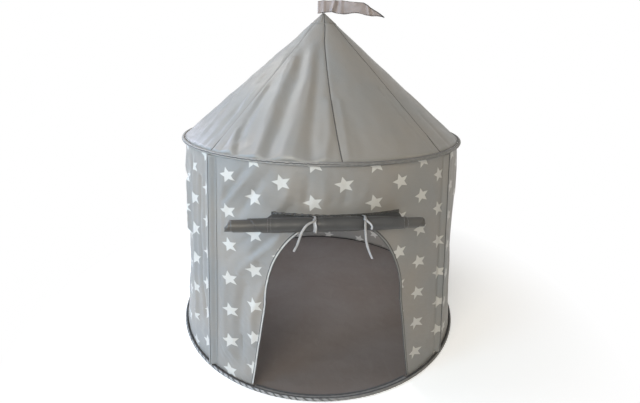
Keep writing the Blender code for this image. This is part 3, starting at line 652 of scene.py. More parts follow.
def ring_tape(hue):
    """Tape round a hoop: its outward face keeps the tape's colour, its top, inside and bottom are painted
    dark as shade, and on the slack left pale and dark slanting stripes are the painted highlights and shade
    of its wrinkles.
    """
    recipe = Recipe("ring_binding_tape", 0.58, sheen=0.18)
    vector, along, share = recipe.cloth_place()
    _, x, y, z = recipe.object_place()
    lengthwise = recipe.stretched(vector, 1.0, 0.0, 1.0)
    rib = (along * (FULL_TURN / 0.0016)).sine()
    mottle = recipe.noise(recipe.stretched(vector, 1.0, 0.034, 1.0), 70.0, 4.0)
    body = recipe.grade(mottle, 0.3, 0.7, hue.tape, darker(hue.tape, 0.74))
    # The slanting stripes follow the tape's wrinkles: the pale ones are painted highlights on their crests,
    # the dark ones painted shade in their creases.
    wrinkle_pitch, wrinkle_slant = 0.024, 0.055
    uneven = recipe.noise(lengthwise, 22.0, 2.0) * 0.030 + (share * wrinkle_slant + along)
    twist = (uneven * (FULL_TURN / wrinkle_pitch)).sine()
    slack = recipe.span(x, 0.10, -0.14) * (recipe.span(z, 0.05, 0.02) * recipe.span(y, -0.05, -0.20))
    body = recipe.mix(recipe.span(twist, 0.6, -0.3) * slack * 0.62, body, hue.ribbon)
    body = recipe.mix(recipe.span(twist, 0.50, 0.86) * slack * 0.92, body, hue.dark_edge_and_shade)
    # The outward face keeps the tape's colour; the top, inside and bottom of the tube are painted in the dark
    # colour as shade.
    face = ((share - 0.03) * FULL_TURN).cosine()
    look = recipe.grade(face, 0.40, 0.56, hue.dark_edge_and_shade, body)
    # On the left of the eaves the tape is painted in the wall's and roof's colours, with a painted shade line
    # between them.
    line_at = recipe.span(recipe.noise(lengthwise, 90.0), 0.3, 0.7, 0.010, 0.075)
    above = share.math("GREATER_THAN", line_at)
    slim = recipe.mix(above, darker(hue.wall, 0.90), darker(hue.roof, 0.96))
    slim = recipe.mix(recipe.span(abs(share - line_at), 0.034, 0.052, 1.0, 0.0), slim, hue.dark_edge_and_shade)
    front_left = recipe.span(x, 0.06, -0.10) * recipe.span(z, 0.5, 0.6)
    normal = recipe.bump(rib, 0.25, 0.0003, recipe.bump(mottle, 0.35, 0.002))
    return recipe.done(recipe.mix(front_left, look, slim), normal)


def door_cloth(hue):
    """Dark cloth, browner at the roll's ends where the inner turns stand out, and painted lighter and browner
    on the roll's underside as warm light.
    """
    recipe = Recipe("dark_door_cloth", 0.38, sheen=0.06, specular=0.45)
    place = recipe.cloth_place()
    _, x, _, z = recipe.object_place()
    ends = recipe.span(x, 0.150, 0.215).most(recipe.span(x, -0.205, -0.285))
    # Browner at the roll's ends; the roll's underside is painted lighter and browner as warm light.
    brown_ends_and_lit_underside = ends.most(recipe.span(z, ROLL_HEIGHT - 0.006, ROLL_HEIGHT - 0.020, 0.0, 0.55))
    broad = recipe.noise(place[0], 9.0, 4.0)
    look = recipe.grade(broad, 0.35, 0.65, darker(hue.dark, 0.86), darker(hue.dark, 1.12))
    return recipe.woven(place, recipe.mix(brown_ends_and_lit_underside * 0.85, look, hue.dark_brown_ends_and_underside), 0.0011, 0.30)


def plain_cloth(name, light, dark, roughness, sheen, specular, broad, crumple, pitch):
    """Cloth of one colour with broad darker patches."""
    recipe = Recipe(name, roughness, sheen=sheen, specular=specular)
    place = recipe.cloth_place()
    look = recipe.grade(recipe.noise(place[0], *broad), 0.35, 0.65, light, dark)
    return recipe.woven(place, look, pitch, crumple)


def floor_cloth(hue):
    recipe = Recipe("coated_floor_cloth", 0.62, sheen=0.05, specular=0.30)
    place = recipe.cloth_place()
    broad = recipe.noise(place[0], 3.2, 4.0, 0.55, 0.6)
    scuffs = recipe.noise(recipe.stretched(place[0], 7.0, 2.2, 1.0), 4.0, 6.0, 0.62, 0.5)
    look = recipe.grade(broad, 0.32, 0.68, warmer(darker(hue.floor, 0.90), 0.05), darker(hue.floor, 1.08))
    look = recipe.mix(recipe.span(scuffs, 0.55, 0.80, 0.0, 0.30), look, darker(hue.floor, 1.45))
    return recipe.woven(place, look, 0.0014, 0.22)


def flag_satin(hue):
    """Mauve-grey cloth with a dark overlocked edge, for a sheet with its share across as V."""
    recipe = Recipe("mauve_flag_cloth", 0.55, sheen=0.15)
    vector, along, share = recipe.cloth_place()
    height = recipe.span(along, FLAG_SLANT_START, FLAG_LENGTH, FLAG_HEIGHT, 0.0015, "LINEAR")
    above = share * height
    slanting = recipe.span(along, FLAG_SLANT_START - 0.004, FLAG_SLANT_START + 0.004, 0.0017, 0.0042)
    rim = (height - above).math("LESS_THAN", slanting)
    teeth = (along * (FULL_TURN / 0.0061)).sine()
    gaps = recipe.noise(recipe.stretched(vector, 1.0, 0.0, 1.0), 46.0, 2.0)
    deep = recipe.span(gaps, 0.40, 0.62) * 0.0020 + 0.0022
    bite = above.math("LESS_THAN", deep) * recipe.span(teeth, -0.45, 0.25, 0.15, 1.0)
    tip = recipe.span(along, FLAG_LENGTH - 0.016, FLAG_LENGTH - 0.006)
    metres = recipe.stretched(vector, 1.0, FLAG_HEIGHT, 1.0)
    broad = recipe.noise(metres, 30.0, 4.0)
    look = recipe.grade(broad, 0.35, 0.65, darker(hue.flag, 0.92), darker(hue.flag, 1.07))
    look = recipe.mix((rim * 0.85).most(bite.most(tip)), look, hue.dark_edge_and_shade)
    return recipe.woven((metres, along, share * FLAG_HEIGHT), look, 0.0010, 0.25, 0.10)


def seam_satin(name, colour, shade, reach):
    """The roof cloth where it's felled in the seams, four layers thick; painted darker up to the reach, as
    the shade in the seam's fold.
    """
    recipe = Recipe(name, 0.50, sheen=0.10)
    vector, along, _ = recipe.cloth_place()
    mottle = recipe.noise(recipe.stretched(vector, 1.0, 0.01, 1.0), 90.0)
    dark = darker(colour, shade)
    look = recipe.grade(mottle, 0.3, 0.7, dark, darker(dark, 0.75))
    look = recipe.grade(along, 0.5 * reach, reach, look, darker(colour, 0.85))
    return recipe.done(look, recipe.bump(mottle, 0.3, 0.001))


def thread(name, roughness, light, dark):
    recipe = Recipe(name, roughness, sheen=0.2)
    twist = recipe.noise(recipe.object_place()[0], 900.0, 2.0)
    return recipe.done(recipe.grade(twist, 0.3, 0.7, light, dark), recipe.bump(twist, 0.3, 0.0003))


def moulded(name, colour, roughness, grain, metallic=0.0):
    """Plastic or coated metal with a fine grain and faint scuffs."""
    recipe = Recipe(name, roughness, specular=0.45, metallic=metallic)
    vector = recipe.object_place()[0]
    speckle = recipe.noise(vector, grain)
    scuff = recipe.noise(vector, 28.0, 5.0, 0.6, 0.4)
    look = recipe.mix(recipe.span(scuff, 0.45, 0.75, 0.0, 0.5), colour, darker(colour, 0.82))
    rough = recipe.span(scuff, 0.35, 0.7, roughness - 0.08, roughness + 0.10)
    return recipe.done(look, recipe.bump(speckle, 0.12, 0.0004), rough)


def cap_satin(hue):
    colour = darker(hue.roof, 0.76)
    return plain_cloth(
        "cap_satin", warmer(colour, 0.03), darker(colour, 0.88), 0.46, 0.12, 0.38, (24.0, 3.0), 0.25, 0.0010
    )


def trim_cloth(hue):
    """The dark cloth of the header, the flap and the pole pockets."""
    light, dark = darker(hue.dark, 0.80), darker(hue.dark, 1.20)
    return plain_cloth("dark_trim_cloth", light, dark, 0.55, 0.06, 0.3, (12.0, 4.0), 0.35, 0.0011)


def door_tape(hue):
    # The tape's middle is painted 2.5 times lighter as a highlight; edged_tape then paints the right leg
    # darker again as shade.
    highlighted = tuple(min(1.0, part * 2.5) for part in hue.tape)
    return edged_tape("door_edge_tape", highlighted, hue.dark_edge_and_shade, 0.31, 0.38, 0.59, 0.42)


LOOKS = {
    "printed": lambda hue: printed_cloth(hue, "printed_grey_cloth", 0.0),
    # Cooler, since warm light falls on the sleeves' flanks that face the door
    "sleeve": lambda hue: printed_cloth(hue, "printed_sleeve_cloth", -0.045),
    "roof": roof_satin,
    "cap": cap_satin,
    "shaded_seam": lambda hue: seam_satin("shaded_seam", hue.roof, 0.26, 2.0),
    "faintly_shaded_seam": lambda hue: seam_satin("faintly_shaded_seam", hue.roof, 0.30, 0.060),
    "hoop_tape": lambda hue: edged_tape("hoop_binding_tape", hue.tape, hue.dark_edge_and_shade, 0.26),
    "ring_tape": ring_tape,
    "door_tape": door_tape,
    "ribbon": lambda hue: edged_tape("silver_ribbon", hue.ribbon, darker(hue.ribbon, 0.30), 0.10, 0.35),
    "door": door_cloth,
    "trim": trim_cloth,
    "floor": floor_cloth,
    "flag": flag_satin,
    "light_thread": lambda hue: thread("light_thread", 0.55, hue.thread, darker(hue.thread, 0.75)),
    "dark_thread": lambda hue: thread("dark_thread", 0.60, darker(hue.dark_edge_and_shade, 1.6), hue.dark_edge_and_shade),
    "roof_thread": lambda hue: thread("roof_thread", 0.55, darker(hue.roof, 0.92), darker(hue.roof, 0.78)),
    "pole": lambda hue: moulded("white_pole_plastic", hue.pole, 0.38, 500.0),
    "fitting": lambda hue: moulded("black_fitting_plastic", hue.fitting, 0.46, 900.0),
    "wire": lambda hue: moulded("coated_spring_wire", hue.wire, 0.36, 700.0, 0.8),
}
MADE = {}


def look_of(name):
    """A look's material, which is made when it's first asked for."""
    if name not in MADE:
        MADE[name] = LOOKS[name](bpy.context.scene.tent_colours)
    return MADE[name]


# Wall

# Soft folds: each line's places as azimuth and height in turn, then its rise and width in metres
WALL_FOLDS = [
    (-29.5, 0.716, -34.0, 0.655, -39.5, 0.592, -0.009, 0.012),
    (-24.8, 0.722, -31.2, 0.655, -39.5, 0.57, 0.0085, 0.0125), (-33.5, 0.67, -29.6, 0.701, -0.0026, 0.005),
    (-36.0, 0.715, -37.5, 0.69, 0.0026, 0.006), (-39.6, 0.705, -40.2, 0.6, -40.6, 0.5, 0.006, 0.016),
    (-32.0, 0.725, -33.5, 0.7, -0.0024, 0.005), (-20.5, 0.716, -27.3, 0.634, -32.0, 0.575, -0.0062, 0.014),
    (-13.5, 0.715, -15.5, 0.64, -18.0, 0.605, 0.0042, 0.015), (-8.5, 0.712, -9.8, 0.63, -0.0044, 0.013),
    (-3.6, 0.715, -4.1, 0.64, 0.003, 0.015), (2.9, 0.712, 2.4, 0.635, -0.0022, 0.013),
    (9.4, 0.705, 8.4, 0.64, 0.0014, 0.016), (-14.8, 0.56, -20.5, 0.508, -27.4, 0.452, -0.0058, 0.012),
    (-18.0, 0.518, -24.5, 0.458, -32.5, 0.382, 0.0062, 0.013),
    (-26.5, 0.522, -32.5, 0.462, -37.5, 0.412, -0.0042, 0.013), (-25.3, 0.43, -21.0, 0.412, -0.0026, 0.007),
    (-23.6, 0.355, -27.6, 0.245, -27.0, 0.155, 0.006, 0.014),
    (-30.6, 0.335, -32.8, 0.205, -32.0, 0.06, -0.01, 0.021),
    (-38.0, 0.36, -39.5, 0.23, -38.5, 0.08, 0.0052, 0.016),
    (-36.6, 0.105, -32.3, 0.062, -28.6, 0.036, 0.0056, 0.01), (-32.2, 0.158, -31.6, 0.116, -0.0046, 0.004),
    (-29.5, 0.09, -27.8, 0.05, -0.0032, 0.006), (-40.0, 0.095, -36.0, 0.045, -0.0034, 0.0075),
    (-49.0, 0.7, -50.0, 0.52, -49.0, 0.33, -0.0044, 0.007),
    (-53.0, 0.64, -54.3, 0.51, -53.8, 0.35, -50.0, 0.17, -0.0095, 0.008),
    (-57.0, 0.69, -58.8, 0.53, -58.6, 0.312, -57.0, 0.13, 0.0085, 0.011),
    (-61.0, 0.7, -61.0, 0.6, -61.5, 0.49, -0.0095, 0.009),
    (-66.5, 0.6, -66.0, 0.51, -68.0, 0.42, 0.0135, 0.014), (-70.0, 0.705, -73.0, 0.62, 0.005, 0.012),
    (-78.0, 0.69, -80.0, 0.45, -77.0, 0.2, -0.007, 0.016),
    (-88.0, 0.7, -86.0, 0.42, -89.0, 0.13, 0.006, 0.018),
    (-98.0, 0.69, -100.0, 0.4, -96.0, 0.11, -0.0055, 0.017),
    (-110.0, 0.7, -107.0, 0.42, -111.0, 0.12, 0.005, 0.018),
    (-122.0, 0.68, -124.0, 0.38, -120.0, 0.09, -0.0045, 0.016), (24.0, 0.712, 25.0, 0.66, -0.0012, 0.013),
    (33.0, 0.7, 33.5, 0.56, 32.0, 0.4, 0.0016, 0.018), (38.5, 0.33, 39.5, 0.18, 37.5, 0.06, -0.0016, 0.014),
    (55.0, 0.7, 57.0, 0.45, 54.0, 0.15, -0.003, 0.016), (66.0, 0.69, 64.0, 0.56, 0.0034, 0.018),
    (62.0, 0.44, 66.0, 0.29, 67.0, 0.12, -0.0085, 0.048),
    (80.0, 0.7, 83.0, 0.42, 79.0, 0.1, -0.0032, 0.017), (97.0, 0.7, 95.0, 0.45, 98.0, 0.14, 0.0034, 0.018),
    (112.0, 0.69, 114.0, 0.4, 110.0, 0.09, -0.0034, 0.017),
    (150.0, 0.7, 153.0, 0.42, 149.0, 0.11, -0.0034, 0.018),
    (166.0, 0.69, 164.0, 0.45, 168.0, 0.15, 0.0034, 0.019),
    (181.0, 0.7, 183.0, 0.42, 180.0, 0.1, -0.0038, 0.018),
    (197.0, 0.7, 195.0, 0.42, 198.0, 0.12, 0.004, 0.018),
    (211.0, 0.69, 213.0, 0.4, 209.0, 0.09, -0.004, 0.017),
]

# How far the print is pulled askew on the front: azimuth, then across at the head and low down, then up there
PRINT_SKEW = np.array([
    (-45.0, -0.007, 0.001, 0.0023, 0.0005), (-36.9, -0.0061, -0.0003, 0.0023, 0.0005),
    (-26.8, -0.0005, 0.005, 0.0055, -0.005), (-17.2, -0.0008, 0.0, 0.0019, 0.0),
    (-7.6, 0.0034, 0.003, 0.0057, 0.0057), (1.9, 0.0006, 0.0006, 0.0006, 0.0006),
    (11.5, 0.0043, 0.006, 0.0031, 0.002), (21.2, -0.0013, 0.012, -0.0004, -0.002),
    (30.1, -0.0017, -0.005, 0.001, 0.008), (40.9, -0.003, 0.025, -0.0057, -0.022),
    (45.0, -0.003, 0.026, -0.006, -0.023),
]).T
SKEW_HEIGHTS = (0.65, 0.30)


def straight_radius(height):
    share = (height - WALL_BOTTOM) / (WALL_TOP - WALL_BOTTOM)
    return lerp(WALL_FOOT_RADIUS, WALL_HEAD_RADIUS, share)


def left_side(azimuth):
    """1 on the slack left side of the tent and 0 on the right."""
    return smoothstep(0.5 + 0.75 * np.cos(np.radians(azimuth + 75.0)))


def straight_place(azimuth, height):
    return polar(azimuth, straight_radius(height), height)


def wall_points(azimuth, height, outward=0.0):
    """The wall's outer face: drawn in between the poles, with soft folds and puckers beside the hoops."""
    azimuth, height = np.broadcast_arrays(np.asarray(azimuth, float), np.asarray(height, float))
    straight = straight_radius(height)
    share = (height - WALL_BOTTOM) / (WALL_TOP - WALL_BOTTOM)
    between = np.sin(np.pi * ((azimuth + 45.0) % 90.0) / 90.0)
    upright = np.sin(np.pi * np.clip(share, 0.0, 1.0))
    slack = np.clip(np.cos(np.radians(azimuth + 95.0)), 0.0, None)
    depth = (0.003 + 0.013 * slack) * upright * between
    near_hoop = np.clip(np.minimum(8.0 * share, 8.0 - 8.0 * share), 0.0, 1.0)
    folds = fold_relief(WALL_FOLDS, straight_place(azimuth, height), straight_place)
    left = left_side(azimuth)
    around = np.radians(azimuth) * PRINT_RADIUS
    soft = ripple(around, height * 0.45, 0.085, 3) * (0.0006 + 0.0012 * left)
    small = ripple(around, height, 0.030, 5) * (0.00015 + 0.00035 * left)
    waves = ripple(around, height * 0.3, 0.020, 8)
    beside_hoops = bell(WALL_TOP - height, 0.020) + 1.3 * bell(height - WALL_BOTTOM, 0.024)
    pucker = sizes().pucker * waves * beside_hoops * (0.25 + 0.75 * left)
    relief = ((folds + soft + small) * near_hoop + pucker) * smoothstep((between - 0.085) / 0.10)
    radius = straight - depth + relief + outward
    ceiling = straight + 0.0065 * smoothstep((between - 0.085) / 0.25) + outward
    floor_line = np.where(height < 0.020, straight + 0.0004 + outward, np.inf)
    return polar(azimuth, np.minimum(np.minimum(radius, ceiling), floor_line), height)


def front_print(azimuth, height):
    """The place on the flat cloth under the print as the front cloth carries it, a little askew."""
    low = np.clip((SKEW_HEIGHTS[0] - height) / (SKEW_HEIGHTS[0] - SKEW_HEIGHTS[1]), 0.0, 1.2)
    across, low_across, up, low_up = (np.interp(azimuth, PRINT_SKEW[0], shift) for shift in PRINT_SKEW[1:])
    around = np.radians(azimuth) * PRINT_RADIUS
    return pile(around - across * (1.0 - low) - low_across * low, height - up * (1.0 - low) - low_up * low)


def side_print(azimuth, height, across, up):
    """The place on the flat cloth for a cloth cut separately, with its own start of the print."""
    return pile(np.radians(azimuth) * PRINT_RADIUS + across, height + up)


def arch_outline(bottom, inset=0.0, steps=160):
    """(x, z) places up the left leg of the doorway, over the top and down the right leg."""
    half = ARCH_SPRING_HALF - inset
    rise = ARCH_TOP - ARCH_SPRING_HEIGHT - inset
    foot = lerp(ARCH_FOOT_HALF, ARCH_SPRING_HALF, bottom / ARCH_SPRING_HEIGHT) - inset
    legs = np.linspace((-foot, bottom), (-half, ARCH_SPRING_HEIGHT), 40, endpoint=False)
    angle = np.pi * (1.0 - np.arange(steps + 1) / steps)
    top = pile(half * np.cos(angle), ARCH_SPRING_HEIGHT + rise * np.sin(angle))
    return np.concatenate([legs, top, legs[::-1] * (-1.0, 1.0)])


def arch_on_wall(outline):
    """(azimuth, height) of places given by x and z on the front wall."""
    x, height = outline.T
    return pile(np.degrees(np.arcsin(x / straight_radius(height))), height)


def build_front_wall():
    """The front cloth: its rows run round the doorway and out to the two sleeves and the eaves."""
    rows, columns, rings = 110, 150, 50
    side_share = 0.32
    shares = np.concatenate([
        np.linspace(0.0, side_share, rows, endpoint=False),
        np.linspace(side_share, 1.0 - side_share, columns, endpoint=False),
        np.linspace(1.0 - side_share, 1.0, rows + 1),
    ])
    inner = arch_on_wall(sampled(arch_outline(WALL_BOTTOM), shares))
    outer = np.concatenate([
        pile(-45.0, np.linspace(WALL_BOTTOM, WALL_TOP, rows, endpoint=False)),
        pile(np.linspace(-45.0, 45.0, columns, endpoint=False), WALL_TOP),
        pile(45.0, np.linspace(WALL_TOP, WALL_BOTTOM, rows + 1)),
    ])
    places = inner[None] + (outer - inner)[None] * np.linspace(0.0, 1.0, rings + 1)[:, None, None]
    place = places[..., 0], places[..., 1]
    wall = sheet("wall_cloth_front", wall_points(*place), front_print(*place), look_of("printed"))
    return dress(wall, sizes().cloth, "wall_cloth", "wall_panel_front")


def build_round_wall():
    """The cloth of the sides and back in one sweep, from one front sleeve round to the other."""
    rows, columns = 96, 400
    azimuth = np.linspace(45.0, 315.0, columns + 1)[None]
    height = np.linspace(WALL_BOTTOM, WALL_TOP, rows + 1)[:, None]
    left = side_print(azimuth - 360.0, height, *LEFT_PRINT)
    right = side_print(azimuth, height, *RIGHT_PRINT)
    cloth = np.where((azimuth > 135.0)[..., None], left, right)
    wall = sheet("wall_cloth_round", wall_points(azimuth, height), cloth, look_of("printed"))
    seam_columns(wall, columns, 135.0, azimuth[0], left, right)
    return dress(wall, sizes().cloth, "wall_cloth", "wall_panel_left", "wall_panel_back", "wall_panel_right")


def seam_columns(wall, columns, seam, azimuth, left, right):
    """Gives each face one side's print, so that none is torn across the seam under the sleeve."""
    layer = wall.data.uv_layers["cloth"]
    count = len(layer.data) // 4
    row, column = np.divmod(np.arange(count), columns)
    beyond = ((azimuth[column] + azimuth[column + 1]) / 2 > seam)[:, None]
    uv = np.zeros((count, 4, 2), np.float32)
    for corner, (step_up, step_on) in enumerate(((0, 0), (0, 1), (1, 1), (1, 0))):
        place = row + step_up, column + step_on
        uv[:, corner] = np.where(beyond, left[place], right[place])
    layer.data.foreach_set("uv", uv.ravel())


def build_wall():
    front = build_front_wall()
    around = build_round_wall()


# Pole sleeves


def sleeve_rise(share):
    return np.clip(1.0 - (np.abs(share) / 0.90) ** 2.0, 0.0, 1.0) ** 1.8


def sleeve_section(flange, fullness):
    """(across, outward) places of the sleeve's inner face: a soft rise over the pole, between flat edges."""
    lift = 0.0001
    share = np.linspace(-1.0, 1.0, 33)
    round_wall = (share * flange) ** 2 / (2.0 * PRINT_RADIUS)
    return pile(share * flange, lift + (SLEEVE_RISE * fullness - lift) * sleeve_rise(share) - round_wall)


def sleeve_print(sleeve, place, azimuth):
    """Lets the prints of the two neighbouring cloths run on over the sleeve as far as its seam."""
    seam = azimuth + math.degrees(SLEEVE_SEAMS[place] / PRINT_RADIUS)
    layer = sleeve.data.uv_layers["cloth"]
    for face in sleeve.data.polygons:
        at = math.degrees(math.atan2(face.center.x, -face.center.y))
        on_front = abs(azimuth) < 90.0 and (at - seam) * azimuth < 0.0
        on_left = azimuth < 0.0 or (at > seam and azimuth > 90.0)
        for loop in face.loop_indices:
            spot = sleeve.data.vertices[sleeve.data.loops[loop].vertex_index].co
            turned = math.degrees(math.atan2(spot.x, -spot.y))
            if on_front:
                uv = front_print(turned, spot.z) + (0.0 if azimuth > 0.0 else 0.020, 0.0)
            else:
                uv = side_print(turned, spot.z, *(LEFT_PRINT if on_left else RIGHT_PRINT))
            layer.data[loop].uv = tuple(uv)


def build_sleeve(place, azimuth, seed):
    """A strip of the printed cloth sewn over the pole, wider at its pocketed foot, with a dark strip on its
    seam as painted shade.
    """
    rows = 150
    height = np.append(np.linspace(0.0130, 0.7265, rows), 0.7270)
    pocket = 1.0 - smoothstep((height - 0.060) / 0.005)
    round_foot = 1.0 - 0.16 * (1.0 - smoothstep((height - 0.013) / 0.008))
    wander = ripple(height, 0.0 * height, 0.045, seed) * 0.00030
    flange = (SLEEVE_FLANGE + 0.0012 * pocket + wander) * round_foot
    fullness = np.maximum(0.98, 1.0 + 0.025 * ripple(height, 0.0 * height, 0.030, seed + 1))
    fullness[-1] = 0.05
    route = straight_place(azimuth, height)
    outward = polar(azimuth, 1.0, 0.0)
    side = polar(azimuth + 90.0, 1.0, 0.0)
    section = np.array([sleeve_section(f, full) for f, full in zip(flange, fullness)])
    sleeve = band("sleeve_" + place, route, outward, section, look_of("sleeve"))
    sleeve_print(sleeve, place, azimuth)
    dress(sleeve, 0.0004, "wall_cloth", "pole_sleeve_" + place, offset=1.0)
    lines = []
    for sign in (-1.0, 1.0):
        off_middle = (sign * (flange - 0.0014))[:, None]
        lines.append((route + side * off_middle + outward * 0.0012, outward))
    stitches = sew("sleeve_stitches_" + place, lines, "light_thread", 0.0004)
    # The dark strip on the seam is painted shade, standing for the shadow line along the sleeve's edge.
    at = SLEEVE_SEAMS[place] + 0.0008 * (1.0 - 2.0 * (height / WALL_TOP))
    crown = 0.0004 + (SLEEVE_RISE * fullness - 0.0004) * sleeve_rise(at / flange) + 0.0007
    half = 0.0014 if azimuth > 0.0 else 0.0008
    seam_route = route + side * at[:, None] + outward * crown[:, None]
    seam_section = mirrored((half, 0.0), (0.6 * half, 0.0006))
    seam = band("sleeve_seam_shade_" + place, seam_route, outward, seam_section, look_of("trim"))
    dress(seam, 0.0004, "binding_tape")


def build_sleeves():
    for number, (place, azimuth) in enumerate(POLE_AZIMUTHS.items()):
        build_sleeve(place, azimuth, 20 + 3 * number)


# Roof

# Flutes and creases: each line's places as azimuth and radius in turn, then its rise and width in metres
ROOF_FOLDS = [
    (-15.4, 0.5, -15.3, 0.445, -14.4, 0.357, -13.8, 0.257, -17.8, 0.15, 0.0075, 0.024),
    (-22.0, 0.5, -22.0, 0.448, -22.9, 0.359, -23.8, 0.258, -28.0, 0.17, -0.008, 0.021),
    (-26.3, 0.5, -26.7, 0.451, -29.7, 0.361, -32.6, 0.259, -35.0, 0.2, 0.007, 0.018),
    (-33.6, 0.503, -37.7, 0.438, -39.0, 0.365, -40.4, 0.3, -0.0075, 0.016),
    (-36.4, 0.503, -41.0, 0.445, 0.004, 0.011), (-48.6, 0.37, -53.0, 0.3, 0.0045, 0.015),
    (-48.5, 0.46, -51.0, 0.371, -0.0045, 0.014),
    (-8.5, 0.495, -9.1, 0.443, -8.9, 0.308, -10.5, 0.15, -0.007, 0.017),
    (-3.7, 0.495, -2.3, 0.442, -2.4, 0.345, 0.0048, 0.013), (-33.8, 0.503, -29.8, 0.476, -0.0036, 0.006),
    (-37.5, 0.505, -35.0, 0.47, 0.0032, 0.006), (-40.5, 0.506, -41.5, 0.43, -0.0026, 0.007),
    (3.2, 0.502, 3.4, 0.42, 3.7, 0.345, 0.003, 0.011), (9.0, 0.5, 8.0, 0.4, -0.0016, 0.02),
    (22.0, 0.5, 20.0, 0.35, 0.002, 0.03), (37.0, 0.505, 35.0, 0.415, 33.0, 0.3, -0.0028, 0.007),
    (41.0, 0.506, 39.0, 0.44, 37.5, 0.35, 0.0026, 0.007), (50.0, 0.5, 51.0, 0.4, -0.003, 0.012),
    (-50.0, 0.505, -51.5, 0.38, -55.0, 0.25, -0.003, 0.012),
    (-57.9, 0.505, -64.0, 0.37, -78.0, 0.205, 0.0046, 0.008), (-66.0, 0.5, -69.0, 0.35, -0.003, 0.015),
    (-76.0, 0.5, -79.0, 0.35, 0.0036, 0.018), (-98.0, 0.5, -97.0, 0.32, -0.004, 0.018),
    (-114.0, 0.5, -112.0, 0.32, 0.004, 0.018), (66.0, 0.5, 68.0, 0.33, 0.0034, 0.018),
    (79.0, 0.5, 80.0, 0.32, -0.0032, 0.018), (101.0, 0.5, 100.0, 0.32, 0.0034, 0.018),
    (118.0, 0.5, 117.0, 0.32, -0.0032, 0.018), (152.0, 0.5, 153.0, 0.32, -0.0036, 0.018),
    (166.0, 0.5, 167.0, 0.32, 0.0036, 0.018), (196.0, 0.5, 195.0, 0.32, -0.0038, 0.018),
    (212.0, 0.5, 210.0, 0.32, 0.0036, 0.018),
]

# How far two seams run beside their places: nominal azimuth, then radii and the shifts there in degrees
SEAM_RADII = (0.05, 0.12, 0.20, 0.52)
SEAM_SHIFTS = {0: (0.0, -3.2, -2.2, 1.2), 45: (0.0, -3.0, -3.6, -5.2)}


def roof_height(radius):
    return APEX_HEIGHT - radius * math.tan(ROOF_PITCH)


def roof_place(azimuth, radius):
    return polar(azimuth, radius, roof_height(radius))


def roof_normal(azimuth):
    return polar(azimuth, math.sin(ROOF_PITCH), math.cos(ROOF_PITCH))


def seam_drawn(azimuth, radius):
    """The azimuths of the cloth's places when its front seams run a little askew."""
    drawn = np.array(azimuth, float)
    for seam, shifts in SEAM_SHIFTS.items():
        nearness = np.clip(1.0 - np.abs(azimuth - seam) / 45.0, 0.0, 1.0)
        drawn = drawn + nearness * np.interp(radius, SEAM_RADII, shifts)
    return drawn


def roof_points(azimuth, radius, lift=0.0):
    """The roof's outer face, hanging a little between the poles and fluted towards the eaves."""
    nominal, radius = np.broadcast_arrays(np.asarray(azimuth, float), np.asarray(radius, float))
    azimuth = seam_drawn(nominal, radius)
    base = roof_place(azimuth, radius)
    share = 1.0 - radius / ROOF_FOOT_RADIUS
    from_foot = ROOF_FOOT_RADIUS - radius
    between = np.abs(np.sin(np.radians(2.0 * (azimuth - 45.0))))
    along = np.clip(np.sin(np.pi * np.clip(share * 1.12, 0.0, 1.0)), 0.0, None)
    drop = 0.001 * along * between
    folds = fold_relief(ROOF_FOLDS, base, roof_place) * smoothstep((radius - 0.06) / 0.17)
    around = np.radians(azimuth) * ROOF_FOOT_RADIUS
    slope = radius / math.cos(ROOF_PITCH)
    left = left_side(azimuth)
    soft = ripple(base[..., 0], base[..., 1], 0.120, 11) * (0.0008 + 0.0012 * left)
    soft = soft + ripple(base[..., 0], base[..., 1], 0.045, 13) * (0.0002 + 0.0004 * left)
    pucker = ripple(around, slope * 0.3, 0.019, 12) * bell(from_foot, 0.016)
    off_seam = radius * np.abs(np.sin(np.radians((nominal + 22.5) % 45.0 - 22.5)))
    valley = -0.0022 * np.exp(-((off_seam / 0.0050) ** 1.5)) * smoothstep(radius / 0.06)
    valley = valley * smoothstep(from_foot / 0.010)
    grip = smoothstep(from_foot / 0.012) * smoothstep(radius / 0.10)
    relief = (folds + soft) * smoothstep(between / 0.16) * grip
    relief = relief + sizes().pucker * pucker * (0.3 + 0.7 * left) * grip
    return polar(azimuth, radius, roof_height(radius) - drop + np.minimum(relief, 0.006) + valley + lift)


def build_roof_sheet():
    """The whole cone as one continuous cloth."""
    rows = 68
    tip_radius = 0.0055
    step = np.linspace(-1.0, 1.0, 65)[:-1]
    within_gore = 22.5 * (0.55 * np.sin(step * np.pi / 2.0) + 0.45 * step)
    azimuth = np.concatenate([-157.5 + 45.0 * gore + within_gore for gore in range(8)] + [[180.0]])[None]
    radius = lerp(ROOF_FOOT_RADIUS, tip_radius, (np.linspace(0.0, 1.0, rows + 1) ** 0.92)[:, None])
    cloth = pile(np.radians(azimuth) * 0.30, (ROOF_FOOT_RADIUS - radius) / math.cos(ROOF_PITCH))
    roof = sheet("roof_cloth", roof_points(azimuth, radius), cloth, look_of("roof"))
    weld(roof)
    return dress(roof, sizes().cloth, "roof_cloth", *[f"roof_gore_{n}" for n in range(1, 9)])


def build_roof_seams():
    """Felled seams between the eight gores, each a narrow welt with a row of stitches either side."""
    radius = np.linspace(ROOF_FOOT_RADIUS - 0.001, 0.030, 120)
    section = mirrored((0.0019, 0.0), (0.0016, 0.0007), (0.0006, 0.0010))
    welts = []
    lines = []
    for number in range(8):
        azimuth = -135.0 + 45.0 * number
        route = roof_points(azimuth, radius)
        side = polar(azimuth + 90.0, 1.0, 0.0)
        # The welts are painted darker as the shade in the seams' folds, and only faintly and near the foot on
        # the lit left.
        look = look_of("faintly_shaded_seam" if -100.0 < azimuth < -30.0 else "shaded_seam")
        welt = band(f"roof_seam_{number + 1}", route, roof_normal(azimuth), section, look)
        welts.append(dress(welt, 0.0006, "roof_cloth"))
        lines += [(route + side * sign * 0.0030, roof_normal(azimuth)) for sign in (-1.0, 1.0)]
    return [*welts, sew("roof_seam_stitches", lines, "roof_thread", 0.0004, "roof_cloth")]


